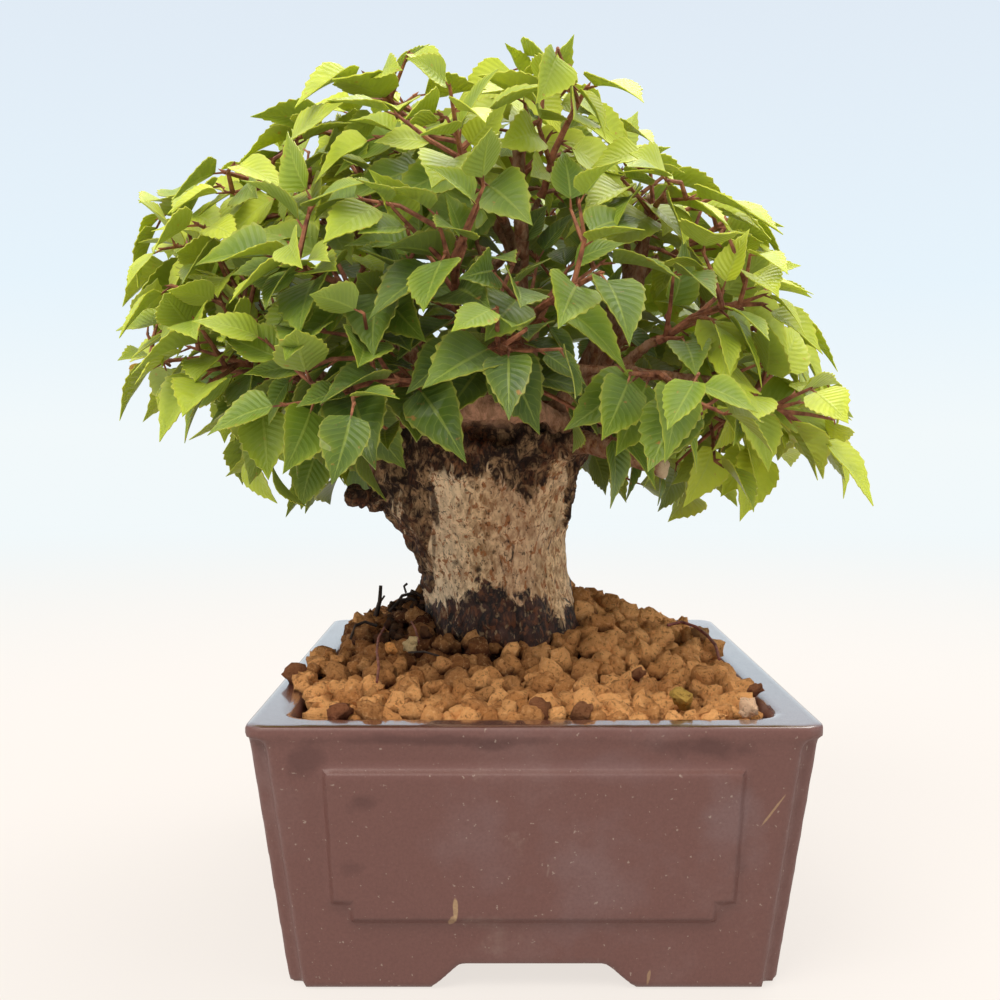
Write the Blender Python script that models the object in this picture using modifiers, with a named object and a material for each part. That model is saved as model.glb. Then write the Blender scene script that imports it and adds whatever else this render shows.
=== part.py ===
"""A korean hornbeam bonsai in its rectangular clay pot, in metres, +Z up.

The pot stands on z = 0 with its short side to the front (-Y). The tree is one piece of wood, the trunk
with its limbs, and each leafy spray grows on from the flat end of a limb, 0.3 mm clear of it.
Everything is modelled around the pot's middle, and moved at the end so that the middle of the
whole object's bounding box stands over the origin.
"""

import math
import random

import bmesh
import bpy
from mathutils import Matrix, Quaternion, Vector
from mathutils.bvhtree import BVHTree

MM = 0.001
CLEARANCE = 0.3 * MM
OVERCUT = 1.0 * MM

# The pot: half sizes at the foot and under the rim, the short side along X.
POT_HEIGHT = 58.5 * MM
FOOT_HALF = Vector((53.2 * MM, 67.2 * MM))
SHOULDER_HALF = Vector((60.2 * MM, 74.2 * MM))
RIM_HALF = Vector((60.6 * MM, 74.6 * MM))
RIM_THICK = 3.0 * MM
RIM_CORNER = 4.6 * MM
LIP_ROUND = 0.9 * MM
WALL_LAP = 0.5 * MM
CORNER_NOTCH = 4.0 * MM
NOTCH_ROUND = 1.9 * MM
MOUTH_HALF = Vector((52.0 * MM, 66.0 * MM))
CAVITY_FLOOR_HALF = Vector((45.5 * MM, 59.5 * MM))
CAVITY_FLOOR = 12.0 * MM
CAVITY_CORNER = 6.0 * MM
MOUTH_FLARE = 1.0 * MM
ARCH_HEIGHT = 5.4 * MM
FOOT_LENGTH = Vector((31.6 * MM, 34.8 * MM))
ARCH_SLANT = 5.8 * MM
PANEL_TOP, PANEL_BOTTOM = 48.9 * MM, 16.1 * MM
PANEL_PROUD = 0.7 * MM
PANEL_SINK = 2.0 * MM
PANEL_INSET = 16.7 * MM
PANEL_STEP = 4.0 * MM
PANEL_NARROWING = 1.3 * MM
DRAIN_RADIUS = 7.0 * MM
DRAIN_OFFSET = 30.0 * MM

# The plastic screens over the drain holes.
SCREEN_SIDE = 22.0 * MM
SCREEN_THICK = 1.0 * MM
SCREEN_HOLES = 2
SCREEN_HOLE = 4.6 * MM

# The soil: a mound of granules round the trunk, its relief coarser than the real grains.
SOIL_EDGE_HEIGHT = 56.6 * MM
MOUND_HEIGHT = 19.0 * MM
MOUND_MIDDLE = Vector((-3.0 * MM, 15.0 * MM))
MOUND_SPREAD = Vector((46.0 * MM, 33.0 * MM))
GRAIN_PITCH = 5.1 * MM
GRAIN_RELIEF = 1.7 * MM
GRAIN_SHIFT = 0.22
GRAIN_HOLLOW = 0.4
GRAIN_UNEVEN = 0.6 * MM
EDGE_RELIEF = 0.3
WALL_GAP = CLEARANCE + 0.15 * MM
STICK_FOOT = Vector((-41.0 * MM, 20.0 * MM, 57.0 * MM))
STICK_TIP = Vector((-39.5 * MM, 21.0 * MM, 76.0 * MM))
STICK_RADIUS = 0.9 * MM

# The trunk's sections from the root stump up: height, middle x, middle y, half width, half depth.
TRUNK_SECTIONS = [
    (44.0, -5.0, 3.0, 16.0, 15.5),
    (68.0, -5.8, 3.0, 20.4, 20.0),
    (75.0, -6.6, 3.0, 19.4, 19.0),
    (82.0, -7.6, 3.0, 19.2, 18.6),
    (91.0, -10.1, 2.8, 20.9, 19.7),
    (100.0, -12.8, 2.0, 24.8, 22.4),
    (107.0, -13.2, 1.5, 26.8, 24.0),
    (113.0, -12.4, 1.0, 28.8, 25.2),
    (119.0, -11.6, 1.0, 27.8, 25.6),
    (124.0, -11.0, 1.0, 22.0, 21.0),
    (127.0, -10.6, 1.0, 12.0, 12.0),
]
TRUNK_SIDES = 18
SOCKET_TOP = 90.0 * MM
SOCKET_GAP = CLEARANCE + 0.1 * MM
SMOOTH_BELOW = 80.0 * MM
RELIEF_GROWS_OVER = 15.0 * MM
RIDGES = [(0.9 * MM, 5, 90, 0.0), (0.6 * MM, 9, -160, 1.3)]
HOLLOW_MIDDLE = Vector((-8.0 * MM, -23.0 * MM, 118.5 * MM))
HOLLOW_HALF = Vector((7.5 * MM, 6.0 * MM, 3.2 * MM))
CALLUS_PATH = [(-24, -19, 121), (-14, -26, 125), (-1, -26.5, 125), (10, -20, 120.5)]
CALLUS_RADIUS = 3.6 * MM
CALLUS_SWELL = (0.55, 1.0, 1.0, 0.55)

# The crown. Angles run round the crown's axis: 0 is right, -90 the front, 180 left.
CROWN_AXIS = Vector((-10.0 * MM, 0.0, 0.0))
CROWN_FLOOR = 95.0 * MM
CROWN_RISE = 125.0 * MM
SPRAY_START = 0.30
LIMB_STEPS = 2
ROOT_RADIUS = 15.0 * MM
ROOT_SINK = 3.0 * MM
STEEP_FORK = 150
LIMB_RISE = 4.0 * MM
STEEP_RISE = -3.0 * MM
LIMB_ROOT_SHARE, LIMB_TAPER = 1.35, 0.5
BRANCHLET_RADIUS = 2.1 * MM
BRANCHLET_LIFT = 3.0 * MM
BRANCHLET_LAP = 0.12
CUT_LENGTH = 2.0 * MM
LIMBS = {
    "front": {"angle": -97, "root": 114, "fork": (30, 129), "thick": 2.6,
              "sprays": [(-86, 72, 136), (-116, 76, 125), (-70, 72, 152), (-124, 76, 155), (-98, 70, 156)]},
    "front_right": {"angle": -42, "root": 119, "fork": (41, 133), "thick": 3.0,
                    "sprays": [(-28, 85, 119), (-57, 80, 123), (-36, 76, 148)]},
    "right": {"angle": 4, "root": 116, "fork": (38, 124), "thick": 2.8,
              "sprays": [(1, 88, 120), (30, 84, 122), (8, 80, 149)]},
    "back_right": {"angle": 60, "root": 114, "fork": (36, 125), "thick": 2.6,
                   "sprays": [(60, 78, 120), (48, 74, 150)]},
    "back": {"angle": 92, "root": 115, "fork": (33, 127), "thick": 2.6,
             "sprays": [(91, 74, 122), (88, 68, 150)]},
    "back_left": {"angle": 124, "root": 114, "fork": (36, 125), "thick": 2.6,
                  "sprays": [(122, 78, 120), (126, 72, 152)]},
    "left": {"angle": 172, "root": 113, "fork": (40, 127), "thick": 3.0,
             "sprays": [(-174, 83, 137), (154, 80, 131), (174, 84, 165)]},
    "front_left": {"angle": -152, "root": 113, "fork": (38, 126), "thick": 2.9,
                   "sprays": [(-146, 77, 133), (-162, 80, 154)]},
    "upper_front": {"angle": -62, "root": 122, "fork": (16, 162), "thick": 2.6,
                    "sprays": [(-96, 58, 178), (-40, 14, 203), (-52, 40, 199), (-134, 42, 202)]},
    "upper_right": {"angle": -4, "root": 121, "fork": (36, 157), "thick": 3.3,
                    "sprays": [(8, 66, 170), (-44, 58, 173), (30, 42, 196)]},
    "upper_back": {"angle": 90, "root": 122, "fork": (20, 164), "thick": 2.6,
                   "sprays": [(60, 56, 177), (116, 58, 179), (116, 38, 204)]},
    "upper_left": {"angle": 176, "root": 122, "fork": (26, 164), "thick": 2.6,
                   "sprays": [(160, 68, 183), (-150, 71, 179), (-172, 40, 196)]},
}

# The leaves: a CAD blade in shares of its length from the twig's axis to the tip.
LEAF_LENGTH = 23.0 * MM
LEAF_HALF_WIDTH = 0.30
LEAF_THICK = 0.62 * MM
LEAF_SIDE = [(0.22, 0.88), (0.46, 1.00), (0.50, 0.80)]
LEAF_MIDRIB = 0.50
BASE = {0, 2 * len(LEAF_SIDE) + 3}
LEAF_ARCH = 0.22
LEAF_FOLD = 0.30
CUT_RADIUS = 1.4 * MM
TWIG_RADIUS = 1.15 * MM
TWIG_TIP_RADIUS = 0.7 * MM
SIDE_TWIG_RADIUS = 0.85 * MM
LEAF_GAP = 0.35 * MM
TWIG_STRAIGHT = 2.2 * MM
TWIG_SHARES = (0.38, 0.70, 1.0)
TWIG_SWAY = 2.5 * MM
TWIG_BOW = (3.5 * MM, 2.0 * MM)
MAIN_LEAVES = (0.36, 0.58, 0.80)
SIDE_TWIG_AT = 0.42
SIDE_TWIG_LENGTH = (13.0, 18.0)
SIDE_LEAF = 0.62
LEAF_SINK = 0.4 * MM
BENDS = [(0, 0), (16, 0), (-16, 0), (0, 18), (0, -18), (28, 12), (-28, 12), (28, -14), (-28, -14), (44, 0)]
PLAN_SEED = 41

# Faces within this angle of one plane are merged after a Boolean, in degrees.
FLAT_ANGLE = 0.1


def clear_scene():
    for obj in list(bpy.data.objects):
        bpy.data.objects.remove(obj, do_unlink=True)


def collection(name):
    made = bpy.data.collections.new(name)
    bpy.context.scene.collection.children.link(made)
    return made


def material(name, colour, roughness, metallic=0.0):
    made = bpy.data.materials.new(name)
    made.use_nodes = True
    shader = made.node_tree.nodes["Principled BSDF"]
    shader.inputs["Base Color"].default_value = (*colour, 1.0)
    shader.inputs["Roughness"].default_value = roughness
    shader.inputs["Metallic"].default_value = metallic
    made.diffuse_color = (*colour, 1.0)
    return made


def place(name, mesh, into, finish=None):
    obj = bpy.data.objects.new(name, mesh)
    into.objects.link(obj)
    if finish:
        mesh.materials.clear()
        mesh.materials.append(finish)
    return obj


def mesh_from(bm, name):
    bmesh.ops.recalc_face_normals(bm, faces=bm.faces)
    mesh = bpy.data.meshes.new(name)
    bm.to_mesh(mesh)
    bm.free()
    return mesh


def mesh_of_curve(curve_object, into, finish=None):
    """The curve's evaluated mesh, with its caps welded, in a mesh object that takes the curve's place."""
    bpy.context.view_layer.update()
    graph = bpy.context.evaluated_depsgraph_get()
    mesh = bpy.data.meshes.new_from_object(curve_object.evaluated_get(graph))
    bm = bmesh.new()
    bm.from_mesh(mesh)
    bmesh.ops.remove_doubles(bm, verts=bm.verts, dist=0.002 * MM)
    bmesh.ops.recalc_face_normals(bm, faces=bm.faces)
    bm.to_mesh(mesh)
    bm.free()
    name = curve_object.name
    world = curve_object.matrix_world.copy()
    bpy.data.objects.remove(curve_object, do_unlink=True)
    obj = place(name, mesh, into, finish)
    obj.matrix_world = world
    return obj


def plate(name, outline, low, high, into):
    """A flat outline in X and Y, filled and extruded between two heights."""
    curve = bpy.data.curves.new(name, "CURVE")
    curve.dimensions = "2D"
    curve.fill_mode = "BOTH"
    curve.extrude = (high - low) / 2
    spline = curve.splines.new("POLY")
    spline.points.add(len(outline) - 1)
    for point, (x, y) in zip(spline.points, outline):
        point.co = (x, y, 0.0, 1.0)
    spline.use_cyclic_u = True
    curve_object = bpy.data.objects.new(name, curve)
    curve_object.location.z = (low + high) / 2
    into.objects.link(curve_object)
    return mesh_of_curve(curve_object, into)


def tube(name, points, radii, sides_step, into):
    """A tapered tube through the points, with four sides and two more for each sides_step."""
    curve = bpy.data.curves.new(name, "CURVE")
    curve.dimensions = "3D"
    curve.bevel_depth = 1.0
    curve.bevel_resolution = sides_step
    curve.use_fill_caps = True
    spline = curve.splines.new("POLY")
    spline.points.add(len(points) - 1)
    for point, place_at, radius in zip(spline.points, points, radii):
        point.co = (*place_at, 1.0)
        point.radius = radius
    curve_object = bpy.data.objects.new(name, curve)
    into.objects.link(curve_object)
    return mesh_of_curve(curve_object, into)


def merge_flat_faces(mesh):
    """Joins the triangles that a Boolean left in one plane, wherever the mesh stays closed."""
    bm = bmesh.new()
    bm.from_mesh(mesh)
    bmesh.ops.dissolve_limit(bm, angle_limit=math.radians(FLAT_ANGLE), verts=bm.verts[:], edges=bm.edges[:])
    bmesh.ops.triangulate(bm, faces=bm.faces[:])
    if all(edge.is_manifold for edge in bm.edges):
        bm.to_mesh(mesh)
    bm.free()


def apply_modifiers(obj):
    """Puts the evaluated mesh in place of the object's own, and drops its modifiers."""
    bpy.context.view_layer.update()
    graph = bpy.context.evaluated_depsgraph_get()
    mesh = bpy.data.meshes.new_from_object(obj.evaluated_get(graph))
    obj.modifiers.clear()
    obj.data = mesh
    return obj


def combine(obj, others, operation, solver="EXACT"):
    """One Boolean of the object with a collection of the others, applied, and the others removed."""
    group = bpy.data.collections.new(obj.name + "_operands")
    bpy.context.scene.collection.children.link(group)
    for other in others:
        for owner in list(other.users_collection):
            owner.objects.unlink(other)
        group.objects.link(other)
    modifier = obj.modifiers.new("join", "BOOLEAN")
    modifier.operand_type = "COLLECTION"
    modifier.collection = group
    modifier.operation = operation
    modifier.solver = solver
    apply_modifiers(obj)
    for other in others:
        bpy.data.objects.remove(other, do_unlink=True)
    bpy.data.collections.remove(group)
    merge_flat_faces(obj.data)
    return obj


def rounded_rectangle(half, radius, steps=4):
    outline = []
    for corner in range(4):
        sx, sy = (1, 1, -1, -1)[corner], (1, -1, -1, 1)[corner]
        middle = Vector((sx * (half.x - radius), sy * (half.y - radius)))
        for step in range(steps + 1):
            angle = math.radians(90 - 90 * corner - 90 * step / steps)
            outline.append((middle.x + radius * math.cos(angle), middle.y + radius * math.sin(angle)))
    return outline


def notched_rectangle(half, notch, radius, steps=3):
    """A rectangle whose corners step in, with its outer edges rounded, going clockwise from the top left."""
    outline = []
    for corner in range(4):
        turn = math.radians(-90 * corner)
        size = half if corner % 2 == 0 else Vector((half.y, half.x))
        local = [(size.x - notch - radius, size.y - radius, 90), (size.x - notch, size.y - notch, None),
                 (size.x - radius, size.y - notch - radius, 90)]
        for x, y, start in local:
            if start is None:
                points = [(x, y)]
            else:
                turns = [math.radians(start - 90 * s / steps) for s in range(steps + 1)]
                points = [(x + radius * math.cos(t), y + radius * math.sin(t)) for t in turns]
            for px, py in points:
                outline.append((px * math.cos(turn) - py * math.sin(turn),
                                px * math.sin(turn) + py * math.cos(turn)))
    return outline


def taper(obj, low, high, low_scale):
    """Scales the points of the object in X and Y, by low_scale at its lowest and 1 at its highest."""
    lift = obj.location.z
    for vertex in obj.data.vertices:
        share = ((vertex.co.z + lift) - low) / (high - low)
        vertex.co.x *= low_scale.x + (1 - low_scale.x) * share
        vertex.co.y *= low_scale.y + (1 - low_scale.y) * share


def ratio(small, large):
    return Vector((small.x / large.x, small.y / large.y))


def panel(name, half_top, wall_half, turn, into):
    """The raised field on one wall: square at its top corners and stepped at its lower ones."""
    slope = math.atan2(SHOULDER_HALF.x - FOOT_HALF.x, POT_HEIGHT - RIM_THICK)
    tall = (PANEL_TOP - PANEL_BOTTOM) / math.cos(slope)
    half_low = half_top - PANEL_NARROWING
    step = PANEL_STEP
    right = [(half_top, tall / 2), (half_low, step - tall / 2),
             (half_low - step * 0.8, step * 0.8 - tall / 2), (half_low - step, -tall / 2)]
    outline = right + [(-x, y) for x, y in reversed(right)]
    field = plate(name, outline, -PANEL_SINK, PANEL_PROUD, into)
    middle = (PANEL_TOP + PANEL_BOTTOM) / 2
    wall_at = wall_half(middle)
    stand_up = Matrix.Rotation(math.radians(90) + slope, 4, "X")
    field.matrix_world = (
        Matrix.Rotation(turn, 4, "Z") @ Matrix.Translation((0, -wall_at, middle)) @ stand_up
    )
    return field


def foot_arch(name, width, length, turn, into):
    """The cutter of the gap between two feet, slanted at its ends, running right through the pot."""
    outline = [(-width / 2, -2 * ARCH_HEIGHT), (-width / 2, 0.0), (-width / 2 + ARCH_SLANT, ARCH_HEIGHT),
               (width / 2 - ARCH_SLANT, ARCH_HEIGHT), (width / 2, 0.0), (width / 2, -2 * ARCH_HEIGHT)]
    cutter = plate(name, outline, -length, length, into)
    cutter.matrix_world = Matrix.Rotation(turn, 4, "Z") @ Matrix.Rotation(math.radians(90), 4, "X")
    return cutter


def make_pot(into, finish):
    shoulder = POT_HEIGHT - RIM_THICK
    wall = notched_rectangle(SHOULDER_HALF, CORNER_NOTCH, NOTCH_ROUND)
    body = plate("pot", wall, 0, shoulder + WALL_LAP, into)
    taper(body, 0, shoulder, ratio(FOOT_HALF, SHOULDER_HALF))
    rim = plate("rim", rounded_rectangle(RIM_HALF, RIM_CORNER), shoulder, POT_HEIGHT, into)
    rounding = rim.modifiers.new("lip", "BEVEL")
    rounding.width = LIP_ROUND
    rounding.segments = 2
    rounding.angle_limit = math.radians(50)
    rounding.limit_method = "ANGLE"
    apply_modifiers(rim)

    def wall_x(height):
        return FOOT_HALF.x + (SHOULDER_HALF.x - FOOT_HALF.x) * height / shoulder

    def wall_y(height):
        return FOOT_HALF.y + (SHOULDER_HALF.y - FOOT_HALF.y) * height / shoulder

    short_half = SHOULDER_HALF.x - PANEL_INSET
    long_half = SHOULDER_HALF.y - PANEL_INSET
    fields = [
        panel("field_front", short_half, wall_y, 0, into),
        panel("field_back", short_half, wall_y, math.pi, into),
        panel("field_right", long_half, wall_x, math.pi / 2, into),
        panel("field_left", long_half, wall_x, -math.pi / 2, into),
    ]
    combine(body, [rim, *fields], "UNION")

    mouth = rounded_rectangle(MOUTH_HALF, CAVITY_CORNER)
    inside = plate("inside", mouth, CAVITY_FLOOR, POT_HEIGHT + OVERCUT, into)
    taper(inside, CAVITY_FLOOR, POT_HEIGHT, ratio(CAVITY_FLOOR_HALF, MOUTH_HALF))
    flare_half = MOUTH_HALF + Vector((MOUTH_FLARE, MOUTH_FLARE))
    flare = plate("flare", rounded_rectangle(flare_half, CAVITY_CORNER + MOUTH_FLARE),
                  POT_HEIGHT - MOUTH_FLARE, POT_HEIGHT + 0.2 * OVERCUT, into)
    taper(flare, POT_HEIGHT - MOUTH_FLARE, POT_HEIGHT, ratio(MOUTH_HALF * 0.998, flare_half))
    arches = [
        foot_arch("arch_front", 2 * (FOOT_HALF.x - FOOT_LENGTH.x), 2 * RIM_HALF.y, 0, into),
        foot_arch("arch_side", 2 * (FOOT_HALF.y - FOOT_LENGTH.y), 2 * RIM_HALF.y, math.pi / 2, into),
    ]
    drains = []
    for side in (-1, 1):
        circle = [(DRAIN_RADIUS * math.cos(math.tau * k / 16), side * DRAIN_OFFSET
                   - DRAIN_RADIUS * math.sin(math.tau * k / 16)) for k in range(16)]
        drains.append(plate(f"drain{side}", circle, 0, CAVITY_FLOOR + OVERCUT, into))
    combine(body, [inside], "DIFFERENCE")
    combine(body, [flare], "DIFFERENCE")
    combine(body, [*arches, *drains], "DIFFERENCE")
    body.data.materials.clear()
    body.data.materials.append(finish)
    return body


def make_screen(name, side, into, finish):
    half = SCREEN_SIDE / 2
    low = CAVITY_FLOOR + CLEARANCE
    outline = [(-half, side * DRAIN_OFFSET + half), (half, side * DRAIN_OFFSET + half),
               (half, side * DRAIN_OFFSET - half), (-half, side * DRAIN_OFFSET - half)]
    screen = plate(name, outline, low, low + SCREEN_THICK, into)
    pitch = SCREEN_SIDE / (SCREEN_HOLES + 1)
    cutters = []
    for column in range(SCREEN_HOLES):
        for row in range(SCREEN_HOLES):
            x = (column - (SCREEN_HOLES - 1) / 2) * pitch
            y = side * DRAIN_OFFSET + (row - (SCREEN_HOLES - 1) / 2) * pitch
            h = SCREEN_HOLE / 2
            square = [(x - h, y + h), (x + h, y + h), (x + h, y - h), (x - h, y - h)]
            cutters.append(plate(f"mesh_{column}_{row}", square, low - OVERCUT,
                                 low + SCREEN_THICK + OVERCUT, into))
    combine(screen, cutters, "DIFFERENCE")
    screen.data.materials.clear()
    screen.data.materials.append(finish)
    return screen


def cavity_scale(height):
    """The size of the cavity at a height, in shares of its size at the mouth."""
    share = (height - CAVITY_FLOOR) / (POT_HEIGHT - CAVITY_FLOOR)
    return ratio(CAVITY_FLOOR_HALF, MOUTH_HALF).lerp(Vector((1.0, 1.0)), share)


def soil_height(x, y):
    """The mound's smooth surface, highest behind the trunk and level with the rim at the front."""
    dx = (x - MOUND_MIDDLE.x) / MOUND_SPREAD.x
    dy = (y - MOUND_MIDDLE.y) / MOUND_SPREAD.y
    return SOIL_EDGE_HEIGHT + MOUND_HEIGHT * math.exp(-dx * dx - dy * dy)


def make_stick(name, into, grow=0.0, finish=None):
    """The short dead stick that stands in the soil beside the trunk."""
    along = unit(STICK_TIP - STICK_FOOT) * grow
    stick = tube(name, [STICK_FOOT - along, STICK_FOOT.lerp(STICK_TIP, 0.6), STICK_TIP + along],
                 [STICK_RADIUS + grow, STICK_RADIUS * 0.9 + grow, STICK_RADIUS * 0.7 + grow], 0, into)
    if finish:
        stick.data.materials.append(finish)
    return stick


def make_soil(into, finish, holes):
    half = MOUTH_HALF - Vector((1, 1)) * WALL_GAP
    columns = round(2 * half.x / GRAIN_PITCH)
    rows = round(2 * half.y / GRAIN_PITCH)
    rng = random.Random(PLAN_SEED + 7)
    bm = bmesh.new()
    bmesh.ops.create_grid(bm, x_segments=columns, y_segments=rows, size=1.0)
    corner = CAVITY_CORNER
    for vertex in bm.verts:
        column = round((vertex.co.x + 1) / 2 * columns)
        row = round((vertex.co.y + 1) / 2 * rows)
        edge = column in (0, columns) or row in (0, rows)
        x, y = vertex.co.x * half.x, vertex.co.y * half.y
        shift = Vector((rng.uniform(-1, 1), rng.uniform(-1, 1))) * GRAIN_PITCH * GRAIN_SHIFT
        lift = GRAIN_RELIEF if (column + row) % 2 == 0 else -GRAIN_HOLLOW * GRAIN_RELIEF
        lift += rng.uniform(-1, 1) * GRAIN_UNEVEN
        if not edge:
            x, y = x + shift.x, y + shift.y
        inner = Vector((abs(x) - (half.x - corner), abs(y) - (half.y - corner)))
        if inner.x > 0 and inner.y > 0 and inner.length > corner:
            inner *= corner / inner.length
            x = math.copysign(half.x - corner + inner.x, x)
            y = math.copysign(half.y - corner + inner.y, y)
        z = soil_height(x, y) + (EDGE_RELIEF * lift if edge else lift)
        scale = cavity_scale(z) if edge else Vector((1.0, 1.0))
        vertex.co = (x * scale.x, y * scale.y, z)
    border = [edge for edge in bm.edges if edge.is_boundary]
    walls = bmesh.ops.extrude_edge_only(bm, edges=border)["geom"]
    floor = CAVITY_FLOOR + CLEARANCE
    bottom = []
    for item in walls:
        if isinstance(item, bmesh.types.BMVert):
            scale, narrow = cavity_scale(item.co.z), cavity_scale(floor)
            item.co = (item.co.x / scale.x * narrow.x, item.co.y / scale.y * narrow.y, floor)
        elif isinstance(item, bmesh.types.BMEdge) and item.is_boundary:
            bottom.append(item)
    bmesh.ops.edgeloop_fill(bm, edges=bottom)
    bmesh.ops.triangulate(bm, faces=[face for face in bm.faces if len(face.verts) == 4])
    soil = place("soil", mesh_from(bm, "soil"), into)
    pockets = []
    for side in (-1, 1):
        reach = SCREEN_SIDE / 2 + CLEARANCE
        middle = side * DRAIN_OFFSET
        outline = [(-reach, middle + reach), (reach, middle + reach),
                   (reach, middle - reach), (-reach, middle - reach)]
        pockets.append(plate(f"pocket{side}", outline, CAVITY_FLOOR - OVERCUT,
                             CAVITY_FLOOR + SCREEN_THICK + 2 * CLEARANCE, into))
    combine(soil, [*holes, *pockets], "DIFFERENCE")
    soil.data.materials.clear()
    soil.data.materials.append(finish)
    return soil


def bark_relief(angle, height):
    """How far the old bark stands out of the trunk's smooth section, ridged along the grain."""
    if height < SMOOTH_BELOW:
        return 0.0
    grow = min(1.0, (height - SMOOTH_BELOW) / RELIEF_GROWS_OVER)
    return grow * sum(depth * math.sin(count * angle + twist * height + start)
                      for depth, count, twist, start in RIDGES)


def trunk_loft(name, into, grow=0.0, top=None, relief=True):
    """The trunk's body, lofted through its sections, each a near-oval ring."""
    bm = bmesh.new()
    previous = None
    rings = []
    for height, middle_x, middle_y, half_x, half_y in TRUNK_SECTIONS:
        z = height * MM
        if top is not None and z > top:
            break
        ring = []
        for side in range(TRUNK_SIDES):
            angle = math.tau * side / TRUNK_SIDES
            out = grow + (bark_relief(angle, z) if relief else 0.0)
            x = middle_x * MM + (half_x * MM + out) * math.cos(angle)
            y = middle_y * MM + (half_y * MM + out) * math.sin(angle)
            low = z - grow if not rings else z
            ring.append(bm.verts.new((x, y, low)))
        rings.append(ring)
        if previous:
            for side in range(TRUNK_SIDES):
                after = (side + 1) % TRUNK_SIDES
                bm.faces.new((previous[side], previous[after], ring[after], ring[side]))
        previous = ring
    bm.faces.new(rings[0])
    bm.faces.new(rings[-1])
    return place(name, mesh_from(bm, name), into)


def around(angle, radius, height):
    turn = math.radians(angle)
    return CROWN_AXIS + Vector((radius * math.cos(turn), radius * math.sin(turn), height))


def bow(start, end, rise, count):
    """Points from start to end on a curve that rises in its middle."""
    points = []
    for step in range(count + 1):
        t = step / count
        point = start.lerp(end, t)
        point.z += rise * 4 * t * (1 - t)
        points.append(point)
    return points


def limb_plan():
    """The paths of the limbs and branchlets with their radii, and where each spray's twig starts and ends."""
    wood = []
    sprays = []
    for name, limb in LIMBS.items():
        root = around(limb["angle"], ROOT_RADIUS, limb["root"] * MM - ROOT_SINK)
        fork = around(limb["angle"], limb["fork"][0] * MM, limb["fork"][1] * MM)
        main = bow(root, fork, STEEP_RISE if limb["fork"][1] > STEEP_FORK else LIMB_RISE, LIMB_STEPS)
        main_radii = [limb["thick"] * MM * (LIMB_ROOT_SHARE - LIMB_TAPER * k / LIMB_STEPS)
                      for k in range(LIMB_STEPS + 1)]
        for rank, (angle, radius, height) in enumerate(limb["sprays"]):
            end = around(angle, radius * MM, height * MM)
            start = fork.lerp(end, SPRAY_START)
            start.z += BRANCHLET_LIFT
            heading = unit(end - start)
            tail = [start - heading * CUT_LENGTH, start]
            if rank == 0:
                path = main + tail
                radii = main_radii + [CUT_RADIUS, CUT_RADIUS]
            else:
                path = [fork.lerp(start, -BRANCHLET_LAP)] + tail
                radii = [BRANCHLET_RADIUS, CUT_RADIUS, CUT_RADIUS]
            wood.append({"name": f"{name}_{rank}", "points": path, "radii": radii, "main": rank == 0})
            sprays.append({"start": start, "end": end})
    return wood, sprays


def unit(vector):
    return vector.normalized()


def spray_plan(index, spray):
    """The twigs of one spray and its leaves, each a base point, a direction, a face normal and a length."""
    rng = random.Random(PLAN_SEED * 1000 + index)
    start, end = spray["start"], spray["end"]
    reach = end - start
    forward = unit(reach)
    start = start + forward * CLEARANCE
    outward = unit(Vector((end.x - CROWN_AXIS.x, end.y - CROWN_AXIS.y, 0)))
    side = unit(forward.cross(Vector((0, 0, 1)))) if abs(forward.z) < 0.95 else Vector((1, 0, 0))
    up = unit(side.cross(forward))
    high = (end.z - CROWN_FLOOR) / CROWN_RISE
    main = [start, start + forward * TWIG_STRAIGHT]
    for t in TWIG_SHARES:
        sway = side * rng.uniform(-1, 1) * TWIG_SWAY
        lift = up * math.sin(math.pi * t) * (TWIG_BOW[0] - TWIG_BOW[1] * high)
        main.append(start + reach * t + sway * t + lift)
    twigs = [{"points": main, "radii": [TWIG_RADIUS, TWIG_RADIUS, TWIG_RADIUS * 0.95, TWIG_RADIUS * 0.85,
                                        TWIG_TIP_RADIUS]}]
    leaves = []

    def hang(at, along, hand, length):
        """A leaf that leaves its twig on one hand, and hangs more the lower and further out it is."""
        dome = unit(outward + Vector((0, 0, 1)) * (0.15 + 0.35 * high))
        droop = rng.uniform(0.5 - 0.4 * high, 1.05 - 0.25 * high)
        direction = unit(along * rng.uniform(0.4, 0.75) + side * hand * rng.uniform(0.5, 0.9)
                         + outward * 0.3 - Vector((0, 0, 1)) * droop)
        face = dome + side * hand * rng.uniform(-0.1, 0.45) + Vector((rng.uniform(-0.3, 0.3),
                                                                     rng.uniform(-0.3, 0.3), 0.15))
        normal = unit(face - direction * face.dot(direction))
        leaves.append({"base": at, "direction": direction, "normal": normal, "length": length})

    hand = 1 if index % 2 else -1
    for t in MAIN_LEAVES:
        hand = -hand
        hang(point_on(main, t), forward, hand, LEAF_LENGTH * rng.uniform(0.88, 1.12))
    hang(main[-1] - forward * LEAF_SINK, forward, hand * 0.15, LEAF_LENGTH * rng.uniform(0.8, 1.0))
    root = point_on(main, SIDE_TWIG_AT)
    heading = unit(forward * 0.7 + side * hand * rng.uniform(0.75, 1.0) + up * rng.uniform(-0.05, 0.3))
    tip = root + heading * rng.uniform(*SIDE_TWIG_LENGTH) * MM
    twigs.append({"points": [root, tip], "radii": [SIDE_TWIG_RADIUS, TWIG_TIP_RADIUS]})
    hang(root.lerp(tip, SIDE_LEAF), heading, hand, LEAF_LENGTH * rng.uniform(0.8, 1.05))
    hang(tip - heading * LEAF_SINK, heading, -hand * 0.2, LEAF_LENGTH * rng.uniform(0.8, 1.05))
    return {"twigs": twigs, "leaves": leaves}


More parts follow.
